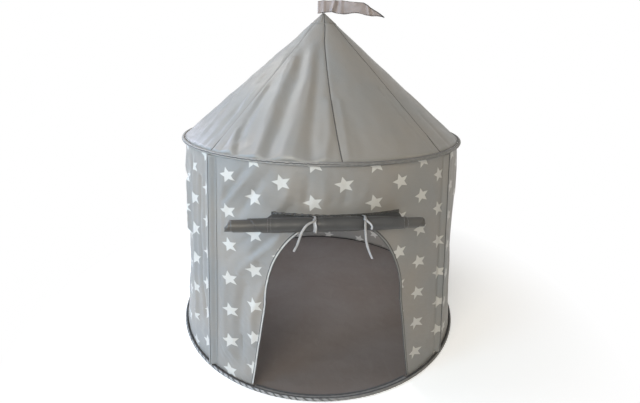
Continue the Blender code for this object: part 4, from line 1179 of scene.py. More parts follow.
def build_roof_cap():
    """The doubled patch over the apex, from a cone that is shaped and hemmed, with the front seam on it as a
    dark strip of painted shade.
    """
    foot, top = 0.049, 0.0034
    rise = 0.0011 / math.cos(ROOF_PITCH)
    cap = primitive(
        bpy.ops.mesh.primitive_cone_add, "roof_cap_cloth", vertices=96, radius1=foot, radius2=top,
        depth=roof_height(top) - roof_height(foot), end_fill_type="NOTHING",
        location=(0.0, 0.0, (roof_height(top) + roof_height(foot)) / 2 + rise),
    )
    bpy.ops.object.transform_apply(location=True, rotation=True, scale=True)
    edit_all()
    bpy.ops.mesh.subdivide(number_cuts=9, quadcorner="INNERVERT")
    end_edit()
    points = mesh_points(cap)
    radius = np.hypot(points[:, 0], points[:, 1])
    azimuth = np.degrees(np.arctan2(points[:, 0], -points[:, 1]))
    hem = bell(foot - radius, 0.006)
    wave = ripple(np.radians(azimuth) * 0.05, radius, 0.016, 31)
    dart = ridge(points, roof_place(-9.0, np.array([0.010, 0.040])), 0.0022)
    relief = 0.0005 * wave * (1.0 - hem) + 0.0002 * hem - 0.0034 * dart
    points[:, 2] = roof_points(azimuth, radius)[:, 2] + rise + relief
    set_mesh_points(cap, points)
    set_cloth_uv(cap, lambda spot: (spot.x, spot.y))
    cap.data.materials.append(look_of("cap"))
    cap.data.shade_smooth()
    weld(cap)
    dress(cap, 0.0009, "roof_cloth", "roof_cap")
    azimuth = np.linspace(-180.0, 180.0, 181)
    line = roof_points(azimuth, foot - 0.003, rise + 0.0010)
    stitches = sew("roof_cap_stitches", [(line, roof_normal(azimuth))], "roof_thread", 0.0004, "roof_cloth")
    # The front seam over the cap is a dark strip: painted shade, carrying on the seam's shade line.
    along = np.linspace(0.008, foot - 0.001, 24)
    front = np.zeros_like(along)
    route = roof_points(front, along, rise + 0.0006)
    section = mirrored((0.0015, 0.0), (0.0008, 0.0007))
    seam = band("roof_cap_seam_shade", route, roof_normal(seam_drawn(front, along)), section, look_of("trim"))
    turn_outward(seam)
    dress(seam, 0.0004, "roof_cloth")


def turn_outward(obj):
    """Flips the faces if most of them look towards the tent's axis."""
    total = 0.0
    for face in obj.data.polygons:
        total += face.area * (face.normal.x * face.center.x + face.normal.y * face.center.y)
    if total < 0.0:
        obj.data.flip_normals()


def build_roof():
    roof = build_roof_sheet()
    build_roof_seams()
    build_roof_cap()


# Bindings


def hoop_ring(name, centre_radius, height, columns, wrinkle, slant, node):
    """A sewn tube round a hoop, its skin drawn into slanting wrinkles on the slack left side."""
    azimuth = np.linspace(-180.0, 180.0, columns + 1)[None]
    angle = np.radians(np.linspace(-180.0, 180.0, 29))[:, None]
    around = np.radians(azimuth) * centre_radius
    slack = 0.2 + 0.8 * left_side(azimuth)
    strength = np.clip(0.5 + 0.5 * ripple(around, 0.0 * around, 0.09, 41), 0.0, 1.2)
    lay = around + slant * angle
    drawn = np.sin(lay * 2.0 * np.pi / 0.017 + 2.2 * ripple(around, 0.0 * around, 0.06, 42))
    skin = 1.0 + wrinkle * slack * strength * np.clip(drawn, -1.0, 0.5)
    skin = skin + 0.02 * ripple(around, angle * 0.004, 0.012, 43)
    skin = np.where(np.sin(angle) < -0.6, np.minimum(skin, 1.0), skin)
    skin = 1.0 + (skin - 1.0) * smoothstep((180.0 - np.abs(azimuth)) / 4.0)
    tube = HOOP_TUBE * skin
    points = polar(azimuth, centre_radius + tube * np.cos(angle), height + tube * np.sin(angle))
    ring = sheet(name, points, pile(around, angle / FULL_TURN), look_of("ring_tape"))
    weld(ring)
    ride(ring, "tent", "binding_tape", node)


def build_hoop_bindings():
    centre = EAVES_RADIUS - HOOP_TUBE
    hoop_ring("eaves_tape", centre, EAVES_HEIGHT, 700, 0.06, 0.004, "eaves_binding")
    azimuth = np.linspace(-180.0, 180.0, 721)
    lines = []
    for angle in (math.radians(62.0), math.radians(-52.0)):
        outward = polar(azimuth, math.cos(angle), math.sin(angle))
        lines.append((polar(azimuth, centre, EAVES_HEIGHT) + outward * (HOOP_TUBE + 0.0002), outward))
    sew("eaves_stitches", lines, "dark_thread", 0.0005)
    hoop_ring("base_tape", BASE_RADIUS - HOOP_TUBE, HOOP_TUBE + 0.0003, 760, 0.20, 0.012, "base_binding")


def build_door_sill():
    """The binding's inner lip, sewn down on the floor cloth across the doorway."""
    azimuth = np.linspace(-26.2, 26.2, 180)[None]
    share = np.linspace(0.0, 1.0, 7)[:, None]
    radius = lerp(0.5405, 0.5560, share)
    around = np.radians(azimuth) * 0.55
    crease = ripple(around, radius, 0.022, 51) * 0.0005
    height = 0.0034 + 0.0040 * smoothstep(share) + crease * np.sin(np.pi * share)
    cloth = pile(around, 1.0 - 0.55 * share)
    sill = sheet("door_sill", polar(azimuth, radius, height)[::-1], cloth[::-1], look_of("hoop_tape"))
    sill.data.flip_normals()
    dress(sill, 0.0008, "binding_tape")
    line = polar(np.linspace(-26.0, 26.0, 240), 0.5425, 0.0037)
    sew("door_sill_stitches", [(line, np.array([0.0, 0.0, 1.0]))], "dark_thread", 0.0006)


def build_arch_tape():
    """The tape folded over the doorway's edge, with a bead on the edge and a row of stitches."""
    width = sizes().arch_tape
    places = arch_on_wall(sampled(arch_outline(0.0135, -0.0010), np.linspace(0.0, 1.0, 420)))
    route = wall_points(places[:, 0], places[:, 1], -0.0004)
    outward = polar(places[:, 0], 1.0, 0.0)
    section = [
        (0.0012, -0.0016), (0.0026, -0.0010), (0.0030, 0.0004), (0.0024, 0.0016), (0.0008, 0.0022),
        (-0.0012, 0.0020), (-0.0030, 0.0017), (0.0036 - width, 0.0016), (0.0026 - width, 0.0006),
    ]
    tape = band("door_edge_tape", route, outward, section, look_of("door_tape"))
    turn_outward(tape)
    dress(tape, 0.0007, "binding_tape", "door_arch_binding")
    across = np.cross(unit(np.gradient(route, axis=0)), outward)
    line = route - across * (width * 0.42) + outward * 0.0022
    sew("door_edge_stitches", [(line, outward)], "dark_thread", 0.0005)


def build_bindings():
    build_hoop_bindings()
    build_door_sill()
    build_arch_tape()


# Floor


def build_floor():
    """The floor cloth, from a disc that is inset in rings and given soft creases."""
    cloth = primitive(
        bpy.ops.mesh.primitive_circle_add, "floor_cloth", vertices=180, radius=FLOOR_RADIUS,
        fill_type="NGON", location=(0.0, 0.0, 0.0012),
    )
    bpy.ops.object.transform_apply(location=True, rotation=True, scale=True)
    edit_all()
    for _ in range(60):
        bpy.ops.mesh.inset(thickness=0.009, depth=0.0)
    bpy.ops.mesh.poke()
    end_edit()
    points = mesh_points(cloth)
    x, y = points[:, 0], points[:, 1]
    radius = np.hypot(x, y)
    reach = smoothstep((radius - 0.540) / (FLOOR_RADIUS - 0.540))
    points[:, :2] *= (1.0 + reach * (FLOOR_RIM / FLOOR_RADIUS - 1.0))[:, None]
    points[:, 2] += 0.0030 * reach
    creases = np.clip(ripple(x * 0.8, y * 1.4, 0.16, 61), 0.0, None) * 0.0022
    fine = np.clip(ripple(x + 0.5 * y, y, 0.05, 62), 0.0, None) * 0.0007
    points[:, 2] += (creases + fine) * smoothstep((FLOOR_RADIUS - radius) / 0.04)
    set_mesh_points(cloth, points)
    set_cloth_uv(cloth, lambda spot: (spot.x, spot.y))
    cloth.data.materials.append(look_of("floor"))
    cloth.data.shade_smooth()
    dress(cloth, 0.0009, "floor_cloth", "floor_mat")


# Door: header, flap, roll and ties


def build_header():
    """The stitched strip across the top of the door, puckered by its two rows of stitches."""
    half = math.degrees(math.asin(HEADER_HALF / straight_radius(HEADER_TOP)))
    azimuth = np.linspace(-half, half, 221)
    share = np.linspace(0.0, 1.0, 11)[:, None]
    around = np.radians(azimuth)[None] * WALL_HEAD_RADIUS
    left = smoothstep((0.05 - around) / 0.20)
    edge = ripple(around, 0.0 * around, 0.014, 71) * (0.0004 + 0.0012 * left)
    bottom = HEADER_BOTTOM - 0.0010
    top = HEADER_TOP + edge - 0.0012
    height = lerp(bottom, top, share)
    seams = (0.78, 0.42)
    pressed = bell(share - seams[0], 0.07) + bell(share - seams[1], 0.07)
    pucker = ripple(around, share * 0.006, 0.009, 72) * (0.0003 + 0.0009 * left)
    puff = 0.0014 * np.sqrt(np.clip(1.0 - (2.0 * share - 1.0) ** 4, 0.0, 1.0))
    out = np.maximum(0.0011 + puff + pucker - 0.0008 * pressed, 0.0005)
    points = polar(azimuth[None], straight_radius(height) + out, height)
    header = sheet("door_header_strip", points, pile(around, height), look_of("trim"))
    dress(header, 0.0008, "dark_cloth", "door_header")
    plain_from = -5.0
    zigzag = np.arange(-half + 0.5, plain_from, math.degrees(0.0027 / WALL_HEAD_RADIUS))
    crest = np.interp(zigzag, azimuth, top[0]) - 0.0008
    at = crest - 0.0032 * (np.arange(len(zigzag)) % 2)
    zigzag_line = (polar(zigzag, straight_radius(at) + 0.0027, at), polar(zigzag, 1.0, 0.0))
    lines = []
    for place, start in zip(seams, (plain_from, -half)):
        rest = azimuth[azimuth > start]
        at = np.interp(rest, azimuth, lerp(bottom, top, place)[0])
        lines.append((polar(rest, straight_radius(at) + 0.0024, at), polar(rest, 1.0, 0.0)))
    sew("door_header_zigzag", [zigzag_line], "light_thread", 0.0012, "dark_cloth")
    sew("door_header_stitches", lines, "light_thread", 0.0005, "dark_cloth")


def build_flap():
    """The free length of the door cloth behind the roll, which pays out as the roll goes down."""
    start = math.radians(ROLL_START_ANGLE)
    high = HEADER_BOTTOM + 0.0010
    low_y = ROLL_Y + (ROLL_RADIUS + 0.0004) * math.cos(start)
    low = ROLL_HEIGHT + ROLL_RADIUS * math.sin(start) + 0.0009
    share = np.linspace(0.0, 1.0, 49)[:, None]
    across = np.linspace(-1.0, 1.0, 61)[None]
    paid_out = smoothstep(share)
    x = across * (HEADER_HALF + np.where(across < 0.0, 0.0135, 0.0) * smoothstep(paid_out / 0.8))
    header_face = straight_radius(HEADER_BOTTOM) + 0.0012
    high_y = -np.sqrt(header_face**2 - np.clip(x, -HEADER_HALF, HEADER_HALF) ** 2)
    points = pile(x, lerp(high_y, low_y, paid_out), high + (low - HEADER_BOTTOM - 0.0010) * share)[::-1]
    flap = sheet("door_flap_cloth", points, pile(x, -DOOR_TRAVEL * paid_out)[::-1], look_of("trim"))
    thicken(flap, 0.0007)
    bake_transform(flap)
    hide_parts("door_flap")


def roll_radius(share):
    return lerp(ROLL_RADIUS, ROLL_CORE_RADIUS, share)


def roll_used(share):
    """Share of the cloth's length that is used up after a share of the turns."""
    return (ROLL_RADIUS**2 - roll_radius(share) ** 2) / (ROLL_RADIUS**2 - ROLL_CORE_RADIUS**2)


def roll_skin(x, angle):
    """Scale on the roll's radius: drawn in at the ties, and dented a little along its length."""
    ties = TIE_PLACES.values()
    drawn = sum(bell(x - place, 0.013) for place in ties)
    swell = sum(bell(x - place - step, 0.020) for place in ties for step in (-0.036, 0.036))
    turned = angle % FULL_TURN
    wave = np.sin(turned) * ripple(x, 0.0 * x, 0.10, 81) + np.cos(turned) * ripple(x, 0.0 * x, 0.08, 82)
    creases = np.sin(turned * 2.0 + 1.0) * ripple(x, 0.0 * x, 0.035, 83)
    slim = 0.17 * smoothstep((x - 0.095) / 0.075)
    return 1.0 - 0.105 * drawn + 0.008 * swell + 0.013 * wave + 0.008 * creases - slim


def round_roll(x, radius, angle):
    return pile(x, ROLL_Y + radius * np.cos(angle), ROLL_HEIGHT + radius * np.sin(angle))


def flatten_on_door(piece):
    """Gives the piece a mesh of its own."""
    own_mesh(piece)


def build_roll():
    """The door cloth wound up into an open spiral, one unbroken sheet with its edges stepped at the ends."""
    steps_round, columns = 44, 130
    share = np.linspace(0.0, 1.0, round(ROLL_TURNS * steps_round) + 1)[:, None]
    angle = math.radians(ROLL_START_ANGLE) - 2.0 * np.pi * ROLL_TURNS * share
    used = roll_used(share)
    half = lerp(ROLL_HALF_OUTER, ROLL_HALF_INNER, smoothstep((used - 0.05) / 0.40))
    shift = ROLL_SKEW * smoothstep(used / 0.20)
    slant = 0.0065 * (1.0 - np.sin(angle)) * smoothstep(used / 0.5)
    x = lerp(shift - half - slant + 0.006, shift + half, np.linspace(0.0, 1.0, columns + 1)[None])
    loose = 0.0006 * smoothstep((0.14 - share) / 0.10) * np.clip(-np.sin(angle), 0.0, 1.0)
    radius = roll_radius(share) * roll_skin(x, angle) + loose
    roll = sheet("door_roll_cloth", round_roll(x, radius, angle), pile(x, 0.50 * used), look_of("door"))
    dress(roll, 0.0008, "dark_cloth", "door_roll", body="door_roll", offset=0.0)
    lines = []
    turn = np.radians(np.linspace(60.0, 265.0, 90))
    outward = pile(0.0, np.cos(turn), np.sin(turn))
    end = ROLL_HALF_OUTER
    for place in (0.004 - end, 0.0125 - end, end - 0.006, end - 0.016):
        skin = ROLL_RADIUS * roll_skin(np.full_like(turn, place), turn) * 0.997 + 0.0007
        lines.append((round_roll(place, skin, turn), outward))
    stitches = sew("door_roll_stitches", lines, "light_thread", 0.0006, "dark_cloth", "door_roll")
    for piece in (roll, stitches):
        flatten_on_door(piece)


def build_ribbon(name, route, outward, width, cup=0.0006):
    """A flat satin ribbon, slightly cupped, along a route."""
    share = np.linspace(-0.5, 0.5, 7)
    section = pile(share * width, cup * (1.0 - (2.0 * share) ** 2))
    ribbon = band(name, route, outward, section, look_of("ribbon"))
    thicken(ribbon, 0.0005, 0.0)
    return ribbon


def strap_route(x, spread):
    """From the header's face, over the roll's front and under it, to end close behind it."""
    tight = ROLL_RADIUS * 0.895 + 0.0010
    sewn_height = 0.5895
    header_face = -math.sqrt((straight_radius(sewn_height) + 0.0036) ** 2 - x**2)
    turn = np.radians(np.arange(75.0, 321.0, 35.0))
    wrapped = round_roll(x + spread * np.sin(turn), tight, turn)
    return smooth_route([(x, header_face, sewn_height), *wrapped], 7)


def build_knot(name, centre, seed):
    """A pulled-tight knot: a ball of ribbon drawn into folds, with a wrap round its waist."""
    knot = primitive(
        bpy.ops.mesh.primitive_uv_sphere_add, name, segments=36, ring_count=24, radius=0.0050, location=centre
    )
    edit_all()
    bpy.ops.transform.resize(value=(1.05, 0.72, 0.86), center_override=centre)
    end_edit()
    bpy.ops.object.transform_apply(location=True, rotation=True, scale=True)
    for vertex in knot.data.vertices:
        away = vertex.co - centre
        fold = float(ripple(away.x + 0.6 * away.z, away.y, 0.0045, seed))
        vertex.co = centre + away * (1.0 + 0.13 * fold)

    def wound(spot):
        away = spot - centre
        return away.z, 0.5 + 0.5 * math.sin((away.x + 0.6 * away.z) * 900.0)

    set_cloth_uv(knot, wound)
    knot.data.materials.append(look_of("ribbon"))
    knot.data.shade_smooth()
    return knot


def build_tie(side, tail_points, loop_points, spread, twist, seed):
    """A ribbon round the roll with its knot, one hanging tail and one short loop."""
    x = TIE_PLACES[side]
    width = sizes().ribbon_width
    centre = Vector((x, ROLL_Y - 0.0140, ROLL_HEIGHT + 0.0166))
    wrap_start = 14
    pieces = []
    for part, lean in (("strap", spread), ("wrap", -spread)):
        route = strap_route(x, lean)
        outward = (route - (0.0, ROLL_Y, ROLL_HEIGHT)) * (0.0, 1.0, 1.0)
        if part == "wrap":
            route = route[wrap_start:] + unit(outward[wrap_start:]) * 0.0007
            outward = outward[wrap_start:]
        pieces.append(build_ribbon(f"door_tie_{part}_{side}", route, outward, width))
    pieces.append(build_knot(f"door_tie_knot_{side}", centre, seed))
    for part, offsets, share in (("tail", tail_points, 1.0), ("loop", loop_points, 0.8)):
        route = smooth_route(np.array(centre) + np.array(offsets), 12)
        turn = np.radians(np.linspace(*twist, len(route)))
        outward = pile(np.sin(turn), -np.cos(turn), 0.25 * np.sin(turn * 1.7))
        pieces.append(build_ribbon(f"door_tie_{part}_{side}", route, outward, width * share, 0.0009))
    for piece in pieces:
        ride(piece, "tent", "ribbon")
        flatten_on_door(piece)
    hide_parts("door_tie_" + side)


def build_door():
    build_header()
    build_flap()
    build_roll()
    build_tie(
        "left",
        [(-0.0010, -0.0005, -0.0010), (-0.0064, -0.0053, -0.0018), (-0.0210, -0.0103, -0.0078),
         (-0.0343, -0.0143, -0.0257), (-0.0405, -0.0148, -0.0440), (-0.0477, -0.0138, -0.0652),
         (-0.0560, -0.0118, -0.0815)],
        [(0.0012, -0.0005, -0.0010), (0.0014, -0.0055, -0.0062), (0.0030, -0.0103, -0.0135),
         (0.0029, -0.0133, -0.0220), (0.0010, -0.0128, -0.0293)],
        0.0016, (-30.0, 12.0), 91,
    )
    build_tie(
        "right",
        [(0.0000, -0.0005, -0.0010), (-0.0020, -0.0078, -0.0096), (-0.0012, -0.0133, -0.0324),
         (0.0014, -0.0148, -0.0548), (0.0065, -0.0148, -0.0745), (0.0135, -0.0143, -0.0924),
         (0.0206, -0.0133, -0.1084)],
        [(0.0010, -0.0005, -0.0010), (0.0059, -0.0058, -0.0040), (0.0125, -0.0103, -0.0094),
         (0.0153, -0.0133, -0.0156), (0.0142, -0.0128, -0.0229)],
        0.0012, (25.0, -40.0), 92,
    )


# Flag

# Pleats and their places along the flag, how far they slant, their depths and widths
PLEATS = (
    (0.0285, 0.011, -0.0058, 0.0060), (0.0450, 0.012, 0.0048, 0.0065), (0.0640, 0.000, -0.0042, 0.0080),
    (0.1720, -0.008, -0.0036, 0.0065), (0.1840, -0.008, 0.0026, 0.0070),
)


def flag_edges(along):
    """Bottom and top of the pennant at a distance from the stick: a waving band with a slanting end."""
    wave = np.cos(2.0 * np.pi * (along - 0.024) / 0.0975)
    bottom = FLAG_BOTTOM + 0.0028 * wave - 0.0125 * np.clip(along / FLAG_LENGTH, 0.0, 1.0) ** 4
    top = FLAG_TOP - 0.0030 * np.clip(along / FLAG_SLANT_START, 0.0, 1.0)
    top = top + 0.0036 * bell(along - 0.060, 0.030) - 0.0024 * smoothstep(-along / 0.02)
    share = np.clip((along - FLAG_SLANT_START) / (FLAG_LENGTH - FLAG_SLANT_START), 0.0, 1.0)
    return bottom, lerp(top, bottom + 0.0020, share)


def flag_section():
    """(x, y) round the flag's flat pocket and out along the pennant."""
    start, end = FLAG_POCKET

    def pocket_half(x):
        return 0.0006 + (STICK_RADIUS + 0.0008) * bell(x, 0.0075) * np.minimum(1.0, (x - start) / 0.006)

    back = np.linspace(end + 0.002, start, 40)
    front = np.linspace(start, end, 40)[1:]
    free = np.linspace(end, FLAG_LENGTH, 140)[1:]
    back_y = pocket_half(back) * smoothstep((end - back) / 0.008) + 0.0004
    y = np.concatenate([back_y, -pocket_half(front), np.full(len(free), -0.0006)])
    return np.concatenate([back, front, free]), y


def flag_sway(x, share):
    """How far the pennant stands back from its plane: it waves, with pleats near the pocket and the tip."""
    swing = 0.0060 * np.sin(34.0 * x + 0.9 * share) * smoothstep((x - 0.030) / 0.06)
    pleats = sum(depth * bell(x - place - slant * share, width) for place, slant, depth, width in PLEATS)
    clear = smoothstep((x - 0.013) / 0.009)
    return swing + (pleats + 0.0009 * ripple(x, share * 0.04, 0.028, 101)) * clear


def build_flag():
    """The pennant: one cloth folded round the stick and sewn back on itself, waving as it hangs."""
    x, y = flag_section()
    share = np.linspace(0.0, 1.0, 15)[:, None]
    bottom, top = flag_edges(x)
    points = pile(x[None], y[None] + flag_sway(x[None], share), lerp(bottom, top, share))
    length = lengths(pile(x, y))
    flag = sheet("flag_cloth", points, pile(length - length[-1] + FLAG_LENGTH, share), look_of("flag"))
    dress(flag, 0.0005, "flag_cloth", "flag", body="flag", offset=0.0)
    seam = FLAG_POCKET[1] - 0.001
    rise = np.linspace(FLAG_BOTTOM + 0.003, FLAG_TOP, 40)
    sway = flag_sway(seam, np.linspace(0.0, 1.0, 40))
    lines = [
        (pile(seam, side * depth + sway, rise), np.array([0.0, side, 0.0]))
        for side, depth in ((-1.0, 0.0009), (1.0, 0.0010))
    ]
    stitches = sew("flag_stitches", lines, "dark_thread", 0.0005, "flag_cloth", "flag")


# Frame parts

FINISHES = {
    "wall_pole": "pole", "roof_pole": "pole", "flag_stick": "pole", "pole_ferrule": "fitting",
    "pole_foot": "fitting", "apex_hub": "fitting", "base_hoop": "wire", "eaves_hoop": "wire",
}


def roof_pole_point(azimuth, radius):
    drop = (0.0015 + 0.0068) / math.cos(ROOF_PITCH)
    return Vector(polar(azimuth, radius, roof_height(radius) - drop))


def build_roof_pocket(place, azimuth):
    """The sewn pocket that holds a roof pole's foot: a cylinder, hollowed and hemmed."""
    length = 0.036
    end = roof_pole_point(azimuth, 0.494)
    inward = (roof_pole_point(azimuth, 0.024) - end).normalized()
    pocket = primitive(
        bpy.ops.mesh.primitive_cylinder_add, "roof_pocket_cloth_" + place, vertices=32, radius=0.0064,
        depth=length, end_fill_type="NGON", location=(0.0, 0.0, 0.0),
    )
    edit_all()
    bpy.ops.mesh.select_mode(type="FACE")
    bpy.ops.mesh.select_all(action="DESELECT")
    end_edit()
    for face in pocket.data.polygons:
        face.select = face.normal.z > 0.9
    bpy.ops.object.mode_set(mode="EDIT")
    bpy.ops.mesh.inset(thickness=0.0014, depth=0.0)
    bpy.ops.mesh.extrude_region_move(TRANSFORM_OT_translate={"value": (0.0, 0.0, -(length - 0.0016))})
    bpy.ops.mesh.select_all(action="DESELECT")
    end_edit()
    for edge in pocket.data.edges:
        edge.select = all(pocket.data.vertices[v].co.z < -length / 2 + 1e-4 for v in edge.vertices)
    bpy.ops.object.mode_set(mode="EDIT")
    bpy.ops.mesh.select_mode(type="EDGE")
    bpy.ops.mesh.bevel(offset=0.0022, segments=3)
    bpy.ops.mesh.select_all(action="SELECT")
    bpy.ops.mesh.normals_make_consistent(inside=False)
    end_edit()
    turn = inward.to_track_quat("Z", "Y").to_matrix().to_4x4()
    middle = end - inward * 0.0018 + inward * length / 2
    pocket.data.transform(Matrix.Translation(middle) @ turn)
    set_cloth_uv(pocket, lambda spot: (spot.x - middle.x + spot.y - middle.y, spot.z - middle.z))
    pocket.data.materials.append(look_of("trim"))
    select_only(pocket)
    bpy.ops.object.shade_smooth_by_angle(angle=math.radians(40.0))
    ride(pocket, "tent", "dark_cloth", "roof_pocket_" + place)


def build_frame():
    for place, azimuth in POLE_AZIMUTHS.items():
        build_roof_pocket(place, azimuth)
    for name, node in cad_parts.items():
        for start, finish in FINISHES.items():
            if name.startswith(start):
                for slot in node.material_slots:
                    slot.material = look_of(finish)
                if not node.material_slots:
                    raise RuntimeError(f"{name} has no material slot")


# Stage

MIDDLE = (0.0, 0.0, 0.45)
# Name, place, target, size, power and colour
LAMPS = (
    ("key_left", (-3.4, 0.0, 1.7), MIDDLE, 1.2, 28.0, (0.30, 0.63, 1.00)),
    ("left_back", (-2.9, 1.8, 1.7), MIDDLE, 1.2, 33.0, (0.78, 0.79, 1.00)),
    ("left_front", (-2.8, -1.6, 1.5), MIDDLE, 1.2, 47.0, (0.41, 0.69, 1.00)),
    ("high_left_back", (-1.8, 1.9, 3.2), MIDDLE, 1.0, 13.0, (1.00, 1.00, 0.95)),
    ("high_left", (-2.3, -0.2, 3.1), MIDDLE, 1.0, 35.0, (1.00, 0.89, 0.87)),
    ("front_soft", (-1.5, -3.1, 2.0), MIDDLE, 2.2, 93.0, (1.00, 0.93, 0.80)),
    ("fill_right", (3.0, -1.2, 1.4), MIDDLE, 2.4, 25.0, (1.00, 0.93, 0.78)),
    ("low_left", (-2.6, -1.0, 0.45), (-0.3, 0.0, 0.2), 1.0, 6.0, (0.62, 0.80, 1.00)),
    ("foot_left", (-1.0, -1.05, 0.06), (-0.38, -0.36, 0.06), 0.5, 1.5, (0.78, 0.86, 1.00)),
    ("back_soft", (0.8, 3.0, 0.5), (0.0, 0.3, 0.35), 1.4, 16.0, (1.00, 0.98, 0.95)),
    ("inside_soft", (0.0, 0.05, 0.98), (0.0, 0.05, 0.0), 0.34, 3.4, (1.00, 0.98, 1.00)),
    ("inside_back", (0.0, -0.15, 0.74), (0.0, 0.50, 0.62), 0.25, 5.0, (0.84, 0.90, 1.00)),
)


def add_lamp(name, place, target, size, power, colour):
    lamp = bpy.data.lights.new(name, "AREA")
    lamp.shape = "DISK"
    lamp.size = size
    lamp.energy = power
    lamp.color = colour
    obj = new_object(name, lamp)
    obj.location = place
    obj.rotation_mode = "QUATERNION"
    obj.rotation_quaternion = (Vector(target) - Vector(place)).to_track_quat("-Z", "Y")


def build_world():
    """Soft light from all round, behind a plain white."""
    world = bpy.data.worlds.new("soft_studio")
    bpy.context.scene.world = world
    world.use_nodes = True
    nodes = Nodes(world.node_tree)
    soft = nodes.node("Background", {"Color": (0.96, 0.98, 1.0), "Strength": 0.04})
    white = nodes.node("Background", {"Color": WHITE, "Strength": 1.0})
    seen = nodes.node("MixShader", {0: nodes.seen_directly(), 1: soft, 2: white})
    nodes.feed(world.node_tree.nodes["World Output"].inputs["Surface"], seen)


def build_ground():
    """A pale floor that takes soft shadows near the tent and fades to white away from it."""
    ground = primitive(
        bpy.ops.mesh.primitive_plane_add, "studio_floor", size=60.0, location=(0.0, 0.0, -0.0006)
    )
    recipe = Recipe("pale_floor", 0.8, specular=0.1)
    grain = recipe.node("TexNoise", {"Scale": 1.5}, "Fac")
    recipe.done(recipe.mix(grain, (0.80, 0.80, 0.80), (0.84, 0.84, 0.84)))
    glow = recipe.node("Emission", {"Color": WHITE, "Strength": recipe.seen_directly() * 0.45})
    shaded = recipe.node("AddShader", {0: recipe.shaded(), 1: glow})
    place = recipe.node("TexCoord", output="Object")
    distance = recipe.node("VectorMath", {0: place}, "Value", operation="LENGTH")
    away = recipe.span(distance, 0.62, 1.15, kind="LINEAR")
    blank = recipe.node("Emission", {"Color": WHITE})
    recipe.surface(recipe.node("MixShader", {0: away * recipe.seen_directly(), 1: shaded, 2: blank}))
    ground.data.materials.append(recipe.material)


def build_camera():
    data = bpy.data.cameras.new("photo_view")
    data.lens = CAMERA_LENS
    data.sensor_width = 36.0
    data.shift_x, data.shift_y = CAMERA_SHIFT
    data.clip_start = 0.05
    data.clip_end = 100.0
    camera = new_object("photo_view", data)
    yaw, pitch, roll = (math.radians(a) for a in (CAMERA_YAW, CAMERA_PITCH, CAMERA_ROLL))
    right = Vector((math.cos(yaw), -math.sin(yaw), 0.0))
    forward = Vector((math.sin(yaw) * math.cos(pitch), math.cos(yaw) * math.cos(pitch), -math.sin(pitch)))
    up = right.cross(forward)
    rolled_right = right * math.cos(roll) + up * math.sin(roll)
    rolled_up = up * math.cos(roll) - right * math.sin(roll)
    place = Vector((-CAMERA_DISTANCE * math.sin(yaw), -CAMERA_DISTANCE * math.cos(yaw), CAMERA_HEIGHT))
    axes = Matrix((rolled_right, rolled_up, -forward)).transposed().to_4x4()
    camera.matrix_world = Matrix.Translation(place) @ axes
    bpy.context.scene.camera = camera


def build_stage():
    build_world()
    build_ground()
    build_camera()
    for lamp in LAMPS:
        add_lamp(*lamp)
    bpy.context.scene.view_settings.view_transform = "Standard"


# Add-on


class TENT_OT_stage(Operator):
    """Set the pale floor, the soft lamps and the camera"""

    bl_idname = "tent.stage"
    bl_label = "Stage"

    def execute(self, context):
        build_stage()
        return {"FINISHED"}


class TENT_OT_wall(Operator):
    """Make the star-print wall cloth with its arched doorway"""

    bl_idname = "tent.wall"
    bl_label = "Wall cloth"

    def execute(self, context):
        build_wall()
        return {"FINISHED"}


class TENT_OT_sleeves(Operator):
    """Make the four pole sleeves and their stitching"""

    bl_idname = "tent.sleeves"
    bl_label = "Pole sleeves"

    def execute(self, context):
        build_sleeves()
        return {"FINISHED"}


class TENT_OT_roof(Operator):
    """Make the cone roof, its seams and its cap"""

    bl_idname = "tent.roof"
    bl_label = "Roof cloth"

    def execute(self, context):
        build_roof()
        return {"FINISHED"}


class TENT_OT_bindings(Operator):
    """Make the tapes round both hoops, the doorway and its sill"""

    bl_idname = "tent.bindings"
    bl_label = "Bindings"

    def execute(self, context):
        build_bindings()
        return {"FINISHED"}


class TENT_OT_floor(Operator):
    """Make the floor cloth, with its soft creases"""

    bl_idname = "tent.floor"
    bl_label = "Floor cloth"

    def execute(self, context):
        build_floor()
        return {"FINISHED"}


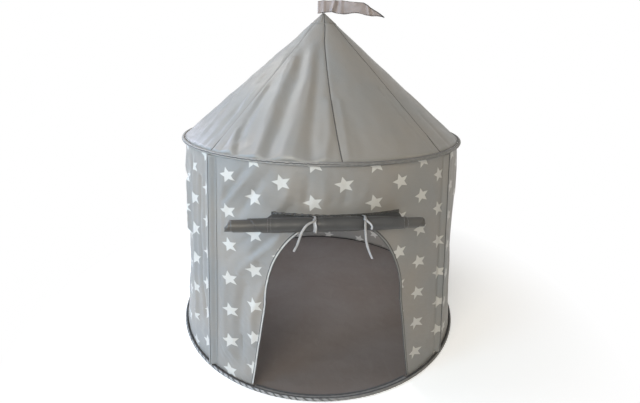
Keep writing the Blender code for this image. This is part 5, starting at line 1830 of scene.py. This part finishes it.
class TENT_OT_door(Operator):
    """Make the rolled-up door, its header and its two ribbon ties"""

    bl_idname = "tent.door"
    bl_label = "Rolled door"

    def execute(self, context):
        build_door()
        return {"FINISHED"}


class TENT_OT_flag(Operator):
    """Make the pennant on its stick"""

    bl_idname = "tent.flag"
    bl_label = "Flag"

    def execute(self, context):
        build_flag()
        return {"FINISHED"}


class TENT_OT_frame(Operator):
    """Finish the poles, hub, ferrules and hoops, and make the pole pockets"""

    bl_idname = "tent.frame"
    bl_label = "Frame parts"

    def execute(self, context):
        build_frame()
        return {"FINISHED"}


class TENT_PT_parts(Panel):
    """Lists the pieces of the play tent"""

    bl_idname = "TENT_PT_parts"
    bl_label = "Play Tent"
    bl_space_type = "VIEW_3D"
    bl_region_type = "UI"
    bl_category = "Play Tent"

    def draw(self, context):
        for group in (context.scene.tent_sizes, context.scene.tent_colours):
            box = self.layout.box()
            for name in group.__annotations__:
                box.prop(group, name)
        for step in STEPS:
            self.layout.operator(step.bl_idname)


STEPS = [
    TENT_OT_stage, TENT_OT_wall, TENT_OT_sleeves, TENT_OT_roof, TENT_OT_bindings, TENT_OT_floor,
    TENT_OT_door, TENT_OT_flag, TENT_OT_frame,
]
CLASSES = [TentSizes, TentColours, *STEPS, TENT_PT_parts]


def register():
    for made in CLASSES:
        bpy.utils.register_class(made)
    bpy.types.Scene.tent_sizes = PointerProperty(type=TentSizes)
    bpy.types.Scene.tent_colours = PointerProperty(type=TentColours)


def unregister():
    del bpy.types.Scene.tent_colours
    del bpy.types.Scene.tent_sizes
    for made in reversed(CLASSES):
        bpy.utils.unregister_class(made)


def main():
    register()
    bpy.context.scene.view_settings.view_transform = "Standard"
    bpy.ops.tent.stage()
    bpy.ops.tent.wall()
    bpy.ops.tent.sleeves()
    bpy.ops.tent.roof()
    bpy.ops.tent.bindings()
    bpy.ops.tent.floor()
    bpy.ops.tent.door()
    bpy.ops.tent.flag()
    bpy.ops.tent.frame()


if __name__ == "__main__":
    main()
